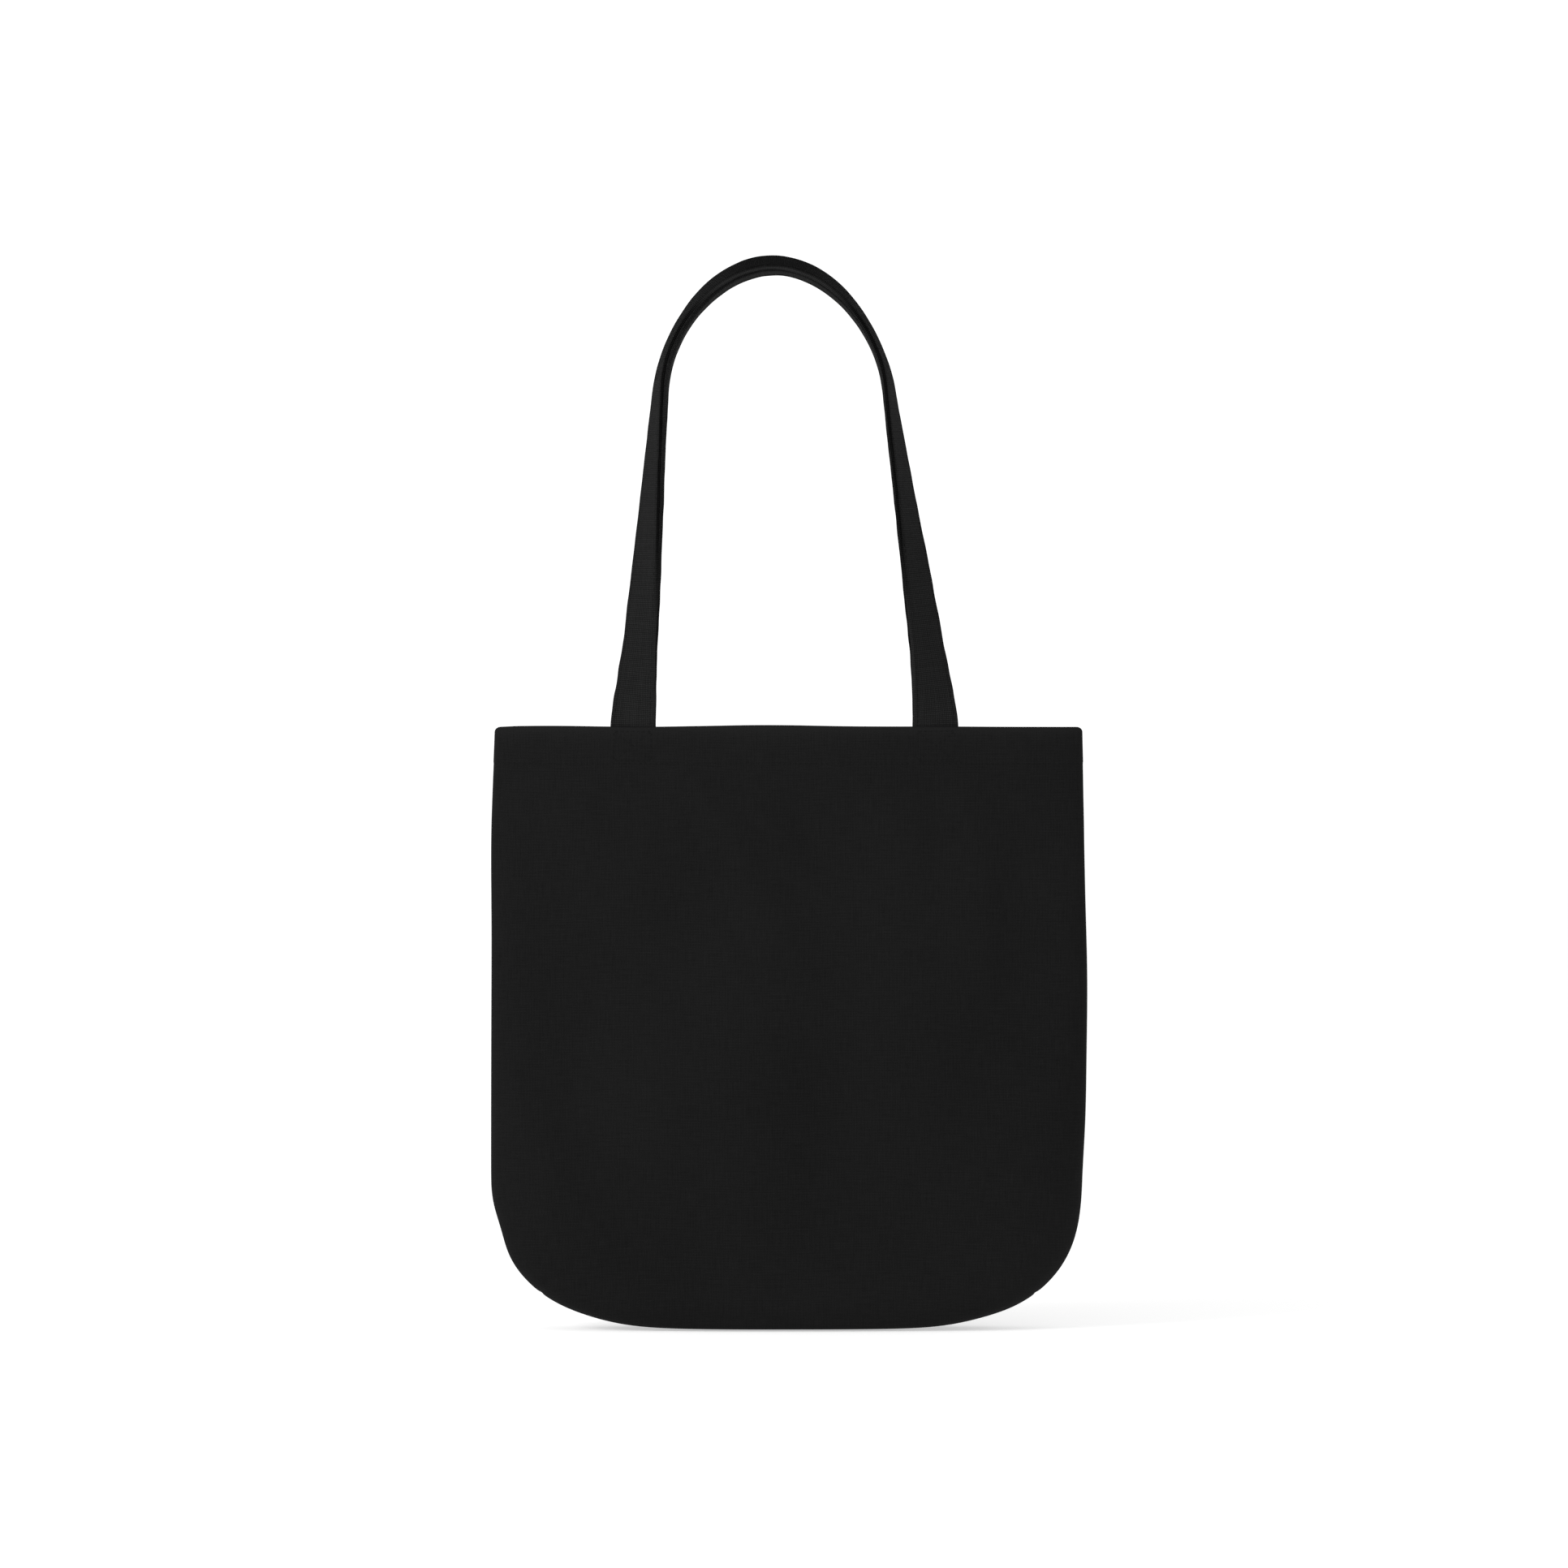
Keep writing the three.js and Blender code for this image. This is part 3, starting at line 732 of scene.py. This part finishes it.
def strap_wear_and_shade(side, points, breadths, across, out):
    """How light or dark the strap is round each step: lighter on its rubbed edges, with painted
    shade inside the legs, along the legs' inner edges and over the arch, and painted light on part
    of the arch's underside.
    """
    edge = np.clip((np.abs(across) - (STRAP_WIDTH / 2 - 1.3 * MM)) / EDGE_WIDTH, 0, 1)[None, :]
    rise = (points[:, 2] - HEIGHT)[:, None]
    # the share of the arch's painted shade and painted light, rising up the arch
    held = smooth(rise, *ARCH_SHADING_HEIGHTS)
    top = smooth(rise, *ARCH_TOP)
    from_middle = across[None, :] / (STRAP_WIDTH / 2) * np.sign(breadths[:, 1:2]) * FACING[side]
    # painted shade and painted light across the arch's inner faces
    underside_shade_and_light = UNDERSIDE_PAINTED_SHADE + UNDERSIDE_PAINTED_LIGHT * smooth(from_middle, *UNDERSIDE_SHADING_PLACE)
    # painted shade on the inner faces: the legs' shade, and the arch's painted shade and light
    inner_shade = INNER_SHADE * (1 - held) + held * underside_shade_and_light
    # painted shade on the arch's outer face
    outer_shade = ARCH_OUTSIDE_SHADE * held + TOP_OUTSIDE_SHADE * top
    shaded = smooth(rise, *SHADE_START) * (1 - smooth(rise, *SHADE_END))
    # rubbed edges are lighter; partway up the legs the inner edge gets a painted shade
    edge_wear_and_shade = EDGE_WEAR - EDGE_SHADE * shaded * smooth(from_middle, *EDGE_PLACE)
    return np.where(out[None, :] < 0, inner_shade, outer_shade) * (1 - edge) + edge_wear_and_shade * edge


def make_strap(side):
    """A strap's folded cloth, from one sewn end over the arch to the other."""
    points, _, faces, breadths, at = strap_line(side)
    across, out = strap_profile()
    count = len(across)
    seed = 3 if side == "front" else 8
    rings = []
    line = STRAP_WIDTH / 2 - TOPSTITCH_INSET
    for i, d in enumerate(at):
        shift = FACE_WAVE * soft_noise((d, 0.3, seed), FACE_WAVE_LENGTH, seed)
        bumps = [soft_noise((d, x * 1.5, seed), BUMP_SIZE, seed + 2) for x in across]
        edge = WIDTH_WAVE * soft_noise((d, 2.2, seed), WIDTH_WAVE_LENGTH, seed + 4)
        wide = across * (1 + edge / (STRAP_WIDTH / 2))
        beat = 0.5 + 0.5 * math.cos(2 * math.pi * d / STITCH_PITCH)
        dent = STITCH_DENT * beat * np.exp(-(((np.abs(across) - line) / STITCH_DENT_WIDTH) ** 2))
        lift = out + shift + (BUMP_HEIGHT * np.array(bumps) - dent) * np.sign(out)
        rings.append(points[i] + breadths[i] * wide[:, None] + faces[i] * lift[:, None])
    grid = np.array(rings)
    sides = grid_faces(len(points), count, wrap=True)
    wear_and_shade = strap_wear_and_shade(side, points, breadths, across, out)
    piece = make_object(
        f"{side}_strap_cloth",
        grid.reshape(-1, 3),
        np.concatenate([sides, end_caps(len(points), count)]),
        band_uvs(across, out, at),
        wear_and_shade.ravel(),
        sharp=60,
    )
    fix_normals(piece)
    return piece


# ---- stitches ----
THREAD_RADIUS = 0.26 * MM
STITCH_LENGTH = 2.7 * MM
# Rings of a stitch: how far from its middle to its ends, and how thick.
STITCH_RINGS = [(-1.0, 0.25), (-0.72, 0.8), (-0.25, 1.0), (0.25, 1.0), (0.72, 0.8), (1.0, 0.25)]


def make_stitches(name, places, length=STITCH_LENGTH, radius=THREAD_RADIUS):
    """One mesh of many stitches. Each place is a point, a direction along and a direction out."""
    around, rings = 6, STITCH_RINGS
    points, faces, uvs = [], [], []
    for index, (place, along, out) in enumerate(places):
        along = along / np.linalg.norm(along)
        out = out - along * np.dot(out, along)
        out = out / np.linalg.norm(out)
        side = np.cross(along, out)
        twist = 0.05 * math.sin(index * 2.4)
        start = len(points)
        for t, size in rings:
            centre = place + along * (t * length / 2) - out * (t * t * radius * 0.9)
            centre = centre + side * (twist * t * length / 2)
            for k in range(around):
                angle = 2 * math.pi * k / around
                spoke = side * math.cos(angle) + out * math.sin(angle)
                points.append(centre + spoke * radius * size)
                uvs.append((t * length / 2 + index * 0.01, angle / 6.28 * 0.004))
        for r in range(len(rings) - 1):
            for k in range(around):
                a, b = start + r * around + k, start + r * around + (k + 1) % around
                faces.append([a, b, b + around, a + around])
        last = start + (len(rings) - 1) * around
        for base in (start, last):
            faces.append([base, base + 1, base + 2, base + 3])
            faces.append([base + 3, base + 4, base + 5, base])
    piece = make_object(name, points, faces, uvs, np.zeros(len(points)), sharp=70)
    fix_normals(piece)
    return piece


def strap_stitch_places(side, edge):
    """Both faces' stitches along one edge of a strap: edge is 1 for the inner one, -1 the outer."""
    points, tangents, faces, breadths, at = strap_line(side)
    line = STRAP_WIDTH / 2 - TOPSTITCH_INSET
    inner_way = inner_breadth_sign(side)
    places = []
    out = STRAP_THICKNESS / 2 - TOPSTITCH_DEPTH + 0.02 * MM
    for face_way in (1, -1):
        for d in np.arange(STITCH_PITCH * 0.75, at[-1] - STITCH_PITCH * 0.5, STITCH_PITCH):
            i = int(round(d / at[-1] * STRAP_STEPS))
            spot = points[i] + breadths[i] * line * edge * inner_way + faces[i] * out * face_way
            places.append((spot, tangents[i], faces[i] * face_way))
    return places


def inner_breadth_sign(side):
    """Whether a strap's breadth direction points to the inside of its arch."""
    breadths = strap_line(side)[3]
    return 1.0 if breadths[FOOT_INDEX][0] > 0 else -1.0


def hem_stitch_places(surface):
    """The line of stitching that holds the hem, on the outside and on the inside."""
    half = surface["arcs"][-1][-1] - 1.5 * MM
    places = []
    for layer in ("outer", "inner"):
        for arc in np.arange(-half + STITCH_PITCH / 2, half, STITCH_PITCH):
            spot, out, along = on_panel(surface, layer, arc, HEM_LINE)
            places.append((spot + out * 0.03 * MM, along, out))
    return places


def cross_outline():
    """A boxed cross, as straight runs between points across and up from the strap end's middle."""
    half_width = STRAP_WIDTH / 2 - TOPSTITCH_INSET
    half_height = (HEIGHT - HEM_BOTTOM) / 2 - 3.2 * MM
    corners = [(-1, -1), (1, -1), (1, 1), (-1, 1)]
    corners = [np.array([x * half_width, z * half_height]) for x, z in corners]
    runs = [(corners[k], corners[(k + 1) % 4]) for k in range(4)]
    return runs + [(corners[0], corners[2]), (corners[1], corners[3])]


def cross_places(side, surface, foot_x):
    """The boxed cross's stitches: on the strap's inner face and on the outside of the panel."""
    points, _, faces, breadths, _ = strap_line(side)
    index = FOOT_INDEX if foot_x < 0 else len(points) - 1 - FOOT_INDEX
    face, wide = faces[index], breadths[index]
    middle = np.array([points[index][0], points[index][1], (HEIGHT + HEM_BOTTOM) / 2])
    if wide[0] < 0:
        wide = -wide
    places = []
    for start, end in cross_outline():
        count = max(2, int(round(np.linalg.norm(end - start) / STITCH_PITCH)))
        step = (end - start) / count
        for k in range(count):
            across, up = start + step * (k + 0.5)
            inside = middle + wide * across + np.array([0, 0, up])
            along = wide * step[0] + np.array([0, 0, step[1]])
            places.append((inside - face * (STRAP_THICKNESS / 2 - 0.02 * MM), along, -face))
            height = middle[2] + up
            arc = arc_at(middle[0] + across, height)
            spot, out, flat = on_panel(surface, "outer", arc, height)
            direction = flat * (step[0] if flat[0] > 0 else -step[0]) + np.array([0, 0, step[1]])
            places.append((spot + out * 0.02 * MM, direction, out))
    return places


# ---- seam edges inside the bag ----
SEAM_WIDTH = 10 * MM
SEAM_THICKNESS = 2.2 * MM
SEAM_WAVE, SEAM_WAVE_LENGTH = 0.105 * MM, 20 * MM
SEAM_RIPPLE, SEAM_RIPPLE_LENGTH = 0.12 * MM, 3.1 * MM
OVERLOCK_LENGTH, OVERLOCK_RADIUS = 5.2 * MM, 0.22 * MM
OVERLOCK_MARGIN, OVERLOCK_PITCH = 1.5 * MM, 2.3 * MM
OVERLOCK_SLANT = 0.35


def make_ribbon(name, line, wide, face, seed):
    """A flat band of cloth along a line, with soft edges and a slight waviness."""
    edge_turn = np.linspace(0, math.pi, 7)
    half, thick = SEAM_WIDTH / 2, SEAM_THICKNESS / 2
    across = np.linspace(half - thick, -half + thick, 7)
    right_x, right_y = half - thick + thick * np.sin(edge_turn), -thick * np.cos(edge_turn)
    x = np.concatenate([across, -right_x[1:-1], -across, right_x[1:-1]])
    y = np.concatenate([0 * across + thick, -right_y[1:-1], 0 * across - thick, right_y[1:-1]])
    rings = []
    distance = distances(line)
    for point, w, f, d in zip(line, wide, face, distance):
        shift = SEAM_WAVE * soft_noise((d, 0.2, seed), SEAM_WAVE_LENGTH, seed)
        ripple = SEAM_RIPPLE * math.sin(2 * math.pi * d / SEAM_RIPPLE_LENGTH) * np.sign(x)
        rings.append(point + w * (x + ripple)[:, None] + f * (y + shift)[:, None])
    points = np.array(rings).reshape(-1, 3)
    sides = grid_faces(len(line), len(x), wrap=True)
    faces = np.concatenate([sides, end_caps(len(line), len(x))])
    piece = make_object(name, points, faces, band_uvs(x, y, distance), np.zeros(len(points)))
    fix_normals(piece)
    return piece


def overlock_places(line, wide, face, edge_way):
    """The thread that goes over a seam's cut edge: slanting stitches on both faces."""
    distance = distances(line)
    places = []
    margin = OVERLOCK_MARGIN
    for d in np.arange(margin, distance[-1] - margin, OVERLOCK_PITCH):
        i = int(np.searchsorted(distance, d))
        along = line[min(i + 1, len(line) - 1)] - line[max(i - 1, 0)]
        along /= np.linalg.norm(along)
        for way in (1, -1):
            centre = line[i] + wide[i] * edge_way * (SEAM_WIDTH / 2 - OVERLOCK_LENGTH / 2)
            spot = centre + face[i] * way * (SEAM_THICKNESS / 2 + 0.05 * MM)
            slant = wide[i] * edge_way + along * OVERLOCK_SLANT * way
            places.append((spot, slant, face[i] * way))
    return places


def seam_lines():
    """Each inner seam edge: its middle line, breadth and face directions, and its cut edge."""
    made = {}
    for name, hand in (("left", -1.0), ("right", 1.0)):
        low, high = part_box(f"{name}_side_seam")
        z = low.z + (high.z - low.z) * np.linspace(0, 1, 150) ** 1.4
        width = section(z)[0] - CLOTH - 1.4 * MM - SEAM_WIDTH / 2
        line = np.stack([hand * width, 0 * z, z], axis=1)
        line[:, 0] += sway(hand * section(z)[0], z)
        along = np.gradient(line, axis=0)
        along /= np.linalg.norm(along, axis=1, keepdims=True)
        face = np.tile([0.0, 1.0, 0.0], (len(z), 1))
        wide = np.cross(along, face)
        wide *= np.sign(wide[:, :1] * hand)
        made[f"{name}_side_seam"] = (line, wide, face, -1)
        low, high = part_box(f"{name}_corner_seam")
        middle = (low + high) / 2
        tilt = math.atan2(high.z - low.z, high.x - low.x)
        y = np.linspace(low.y, high.y, 40)
        line = np.stack([0 * y + middle.x, y, 0 * y + middle.z], axis=1)
        line[:, 0] += sway(line[:, 0], line[:, 2])
        wide = np.tile([hand * math.cos(tilt), 0.0, math.sin(tilt)], (len(y), 1))
        face = np.tile([-hand * math.sin(tilt), 0.0, math.cos(tilt)], (len(y), 1))
        made[f"{name}_corner_seam"] = (line, wide, face, -1)
    low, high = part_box("bottom_seam")
    x = np.linspace(low.x, high.x, 90)
    line = np.stack([x, 0 * x, 0 * x + (low.z + high.z) / 2], axis=1)
    wide = np.tile([0.0, 1.0, 0.0], (len(x), 1))
    face = np.tile([0.0, 0.0, 1.0], (len(x), 1))
    made["bottom_seam"] = (line, wide, face, 1)
    return made


# ---- materials ----
# How much each part of the weave adds to the cloth's tone, and where the tones lie on the ramp.
SLUB_TONE, CLOUD_TONE, FUZZ_TONE, WEAR_AND_SHADE_TONE = 0.55, 0.25, 0.12, 0.5
TONE_SCALE = 0.5
DARK_PLACE, LIGHT_PLACE, FADED_PLACE = 0.125, 0.5, 0.75


def grey(value):
    return (value, value, value, 1)


def start_material(name, roughness, specular, sheen):
    """A new material: its shader, its links, and a function that adds a node to it."""
    material = bpy.data.materials.new(name)
    material.use_nodes = True
    tree = material.node_tree
    shader = tree.nodes["Principled BSDF"]
    shader.inputs["Roughness"].default_value = roughness
    shader.inputs["Specular IOR Level"].default_value = specular
    shader.inputs["Sheen Weight"].default_value = sheen

    def make(kind, inputs=None, **settings):
        node = tree.nodes.new(kind)
        for key, value in settings.items():
            setattr(node, key, value)
        for key, value in (inputs or {}).items():
            if isinstance(value, bpy.types.NodeSocket):
                tree.links.new(value, node.inputs[key])
            else:
                node.inputs[key].default_value = value
        return node

    return material, shader, tree.links, make


def cloth_material(name, dark, light, pitch, relief, sheen, contrast=0.75, faded=1.0):
    """Plain-weave cloth: two sets of threads over and under each other, uneven and worn."""
    material, shader, links, make = start_material(name, 0.9, 0.02, sheen)
    shader.inputs["Sheen Roughness"].default_value = 0.45
    shader.inputs["Sheen Tint"].default_value = (0.75, 0.77, 0.8, 1)

    def math_node(operation, a, b=None):
        inputs = {0: a} if b is None else {0: a, 1: b}
        return make("ShaderNodeMath", inputs, operation=operation).outputs[0]

    place = make("ShaderNodeUVMap", uv_map="cloth").outputs[0]
    split = make("ShaderNodeSeparateXYZ", {0: place})
    warp = math_node("SINE", math_node("MULTIPLY", split.outputs[0], math.pi / pitch))
    weft = math_node("SINE", math_node("MULTIPLY", split.outputs[1], math.pi / pitch))
    over = math_node("MULTIPLY", math_node("MULTIPLY", warp, weft), 0.5)
    warp_up, weft_up = math_node("ADD", over, 0.5), math_node("SUBTRACT", 0.5, over)
    warp_height = math_node("MULTIPLY", math_node("ABSOLUTE", warp), warp_up)
    weft_height = math_node("MULTIPLY", math_node("ABSOLUTE", weft), weft_up)
    weave = math_node("MAXIMUM", warp_height, weft_height)

    # single threads differ a little in colour and thickness, along each way of the cloth
    slubs = []
    for scale in ((1 / pitch, 0.06 / pitch, 1), (0.06 / pitch, 1 / pitch, 1)):
        stretched = make("ShaderNodeMapping", {"Vector": place, "Scale": scale}).outputs[0]
        slub_noise = {"Vector": stretched, "Scale": 0.9, "Detail": 1.0}
        slubs.append(make("ShaderNodeTexNoise", slub_noise).outputs[0])
    slub = math_node("MULTIPLY", math_node("ADD", *slubs), 0.5)
    body = make("ShaderNodeTexCoord").outputs["Object"]
    cloud = make("ShaderNodeTexNoise", {"Vector": body, "Scale": 9.0, "Detail": 3.0}).outputs[0]
    fuzz = make("ShaderNodeTexNoise", {"Vector": body, "Scale": 900.0, "Detail": 1.0}).outputs[0]

    # this attribute brings in the lighter rubbed cloth, and on the straps painted shade and painted
    # light
    wear_and_shade = make("ShaderNodeAttribute", attribute_name="wear_and_shade").outputs["Fac"]
    tone = math_node("MULTIPLY", weave, contrast)
    parts = ((slub, SLUB_TONE), (cloud, CLOUD_TONE), (fuzz, FUZZ_TONE), (wear_and_shade, WEAR_AND_SHADE_TONE))
    for part, share in parts:
        tone = math_node("ADD", tone, math_node("MULTIPLY", part, share))
    ramp = make("ShaderNodeValToRGB", {0: math_node("MULTIPLY", tone, TONE_SCALE)})
    ends = ramp.color_ramp.elements
    ends[0].position, ends[0].color = DARK_PLACE, grey(dark)
    ends[1].position, ends[1].color = LIGHT_PLACE, grey(light)
    ends.new(FADED_PLACE).color = grey(light * faded)
    links.new(ramp.outputs[0], shader.inputs["Base Color"])

    height = math_node("ADD", weave, math_node("MULTIPLY", slub, 0.5))
    height = math_node("ADD", height, math_node("MULTIPLY", fuzz, 0.2))
    bump = make("ShaderNodeBump", {"Height": height, "Strength": relief, "Distance": pitch * 0.3})
    links.new(bump.outputs[0], shader.inputs["Normal"])
    return material


def thread_material(name, dark, light):
    """Twisted sewing thread: fine slanting ply lines along each stitch."""
    material, shader, links, make = start_material(name, 0.6, 0.05, 0.01)
    place = make("ShaderNodeUVMap", uv_map="cloth").outputs[0]
    turned = make("ShaderNodeMapping", {"Vector": place, "Rotation": (0, 0, 0.9)})
    ply_waves = {"Vector": turned.outputs[0], "Scale": 500.0, "Distortion": 0.6}
    plies = make("ShaderNodeTexWave", ply_waves).outputs[1]
    ramp = make("ShaderNodeValToRGB", {0: plies})
    ramp.color_ramp.elements[0].color = grey(dark)
    ramp.color_ramp.elements[1].color = grey(light)
    links.new(ramp.outputs[0], shader.inputs["Base Color"])
    bump = make("ShaderNodeBump", {"Height": plies, "Strength": 0.4, "Distance": 0.1 * MM})
    links.new(bump.outputs[0], shader.inputs["Normal"])
    return material


canvas = cloth_material("black_canvas", 0.0027, 0.0115, 0.75 * MM, 0.28, 0.006, contrast=0.5)
strap_canvas = cloth_material(
    "black_strap_canvas", 0.0008, 0.0122, 1.2 * MM, 0.8, 0.004, contrast=0.95, faded=2.0
)
seam_cloth = cloth_material("black_seam_cloth", 0.0026, 0.009, 0.75 * MM, 0.3, 0.010)
thread = thread_material("black_thread", 0.003, 0.0105)


def dress(piece, material, nodes, body="bag"):
    """Gives a piece its material and slot, hides the CAD nodes it stands for, and gives it a body
    to ride.
    """
    piece.data.materials.append(material)
    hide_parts(*nodes)
    if body is not None:
        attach(piece, body)


wrinkles = simulate_wrinkles()
for side in FACING:
    cloth_piece, surface = make_panel(side, wrinkles)
    dress(cloth_piece, canvas, [f"{side}_panel"])
    stitches = make_stitches(f"{side}_hem_stitches", hem_stitch_places(surface))
    dress(stitches, thread, [f"{side}_hem_stitching"])
    for name, foot_x in (("left", LEFT_FOOT), ("right", RIGHT_FOOT)):
        places = cross_places(side, surface, foot_x)
        stitches = make_stitches(f"{side}_{name}_cross_stitches", places)
        dress(stitches, thread, [f"{side}_{name}_boxed_cross"])

    strap = make_strap(side)
    nodes = [f"{side}_strap", f"{side}_strap_left_end", f"{side}_strap_right_end"]
    dress(strap, strap_canvas, nodes, body=None)
    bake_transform(strap)
    for edge, way in (("inner", 1), ("outer", -1)):
        stitches = make_stitches(f"{side}_strap_{edge}_stitches", strap_stitch_places(side, way))
        dress(stitches, thread, [f"{side}_strap_{edge}_topstitching"], body=None)
        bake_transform(stitches)

for seed, (name, (line, wide, face, edge_way)) in enumerate(seam_lines().items()):
    ribbon = make_ribbon(f"{name}_edge", line, wide, face, seed)
    dress(ribbon, seam_cloth, [name])
    places = overlock_places(line, wide, face, edge_way)
    stitches = make_stitches(f"{name}_overlocking", places, OVERLOCK_LENGTH, OVERLOCK_RADIUS)
    stitches.data.materials.append(thread)
    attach(stitches, "bag")


# ---- floor, light and camera ----
FLOOR_GLOW = 0.51  # the floor is a light table, so it stays white
FLOOR_REACH = 30.0
FLOOR_DROP = 1.2 * MM  # under the lowest creases of the base
SKY_LOW, SKY_HIGH = 1.15, 0.35  # brightness of the surroundings at the horizon and overhead
SKY_TURN = (0.15, 0.8)  # upward directions between which it changes
CAMERA_DISTANCE = 5.5
CAMERA_PLACE = (-0.003, -CAMERA_DISTANCE, 0.3465)
FRAME_WIDTH = 1.001  # of the view, at the bag


def make_floor():
    """A wide, plain, pale floor that glows a little."""
    corners = [(-1, -1, 0), (1, -1, 0), (1, 1, 0), (-1, 1, 0)]
    floor = make_object("floor", np.array(corners) * FLOOR_REACH, [[0, 1, 2, 3]])
    material = bpy.data.materials.new("pale_floor")
    material.use_nodes = True
    shader = material.node_tree.nodes["Principled BSDF"]
    shader.inputs["Base Color"].default_value = (0.9, 0.9, 0.9, 1)
    shader.inputs["Roughness"].default_value = 1.0
    shader.inputs["Specular IOR Level"].default_value = 0.0
    shader.inputs["Emission Color"].default_value = (1, 1, 1, 1)
    shader.inputs["Emission Strength"].default_value = FLOOR_GLOW
    floor.data.materials.append(material)
    floor.location.z = -FLOOR_DROP


def make_area_light(name, place, target, size, power):
    """A round soft light at a place, turned to a target."""
    data = bpy.data.lights.new(name, "AREA")
    data.shape = "DISK"
    data.size = size
    data.energy = power
    lamp = bpy.data.objects.new(name, data)
    lamp.location = place
    lamp.rotation_euler = (Vector(target) - Vector(place)).to_track_quat("-Z", "Y").to_euler()
    bpy.context.scene.collection.objects.link(lamp)


make_floor()
make_area_light("key", (-2.8, -2.5, 1.9), (0, 0, 0.4), 1.8, 72)
make_area_light("fill", (2.4, -2.6, 0.9), (0, 0, 0.3), 2.4, 14)

world = bpy.data.worlds.new("studio")
world.use_nodes = True
world_tree = world.node_tree
direction = world_tree.nodes.new("ShaderNodeTexCoord")
split_direction = world_tree.nodes.new("ShaderNodeSeparateXYZ")
brightness = world_tree.nodes.new("ShaderNodeMapRange")
brightness.inputs["From Min"].default_value = SKY_TURN[0]
brightness.inputs["From Max"].default_value = SKY_TURN[1]
brightness.inputs["To Min"].default_value = SKY_LOW
brightness.inputs["To Max"].default_value = SKY_HIGH
world_tree.links.new(direction.outputs["Generated"], split_direction.inputs[0])
world_tree.links.new(split_direction.outputs[2], brightness.inputs[0])
world_tree.links.new(brightness.outputs[0], world_tree.nodes["Background"].inputs[1])
world_tree.nodes["Background"].inputs[0].default_value = (1, 1, 1, 1)
bpy.context.scene.world = world
bpy.context.scene.view_settings.view_transform = "Standard"

camera_data = bpy.data.cameras.new("camera")
camera_data.sensor_width = 36
camera_data.lens = camera_data.sensor_width * CAMERA_DISTANCE / FRAME_WIDTH
camera_data.clip_start, camera_data.clip_end = 0.05, 200
camera = bpy.data.objects.new("camera", camera_data)
camera.location = CAMERA_PLACE
camera.rotation_euler = (math.pi / 2, 0, 0)
bpy.context.scene.collection.objects.link(camera)
bpy.context.scene.camera = camera
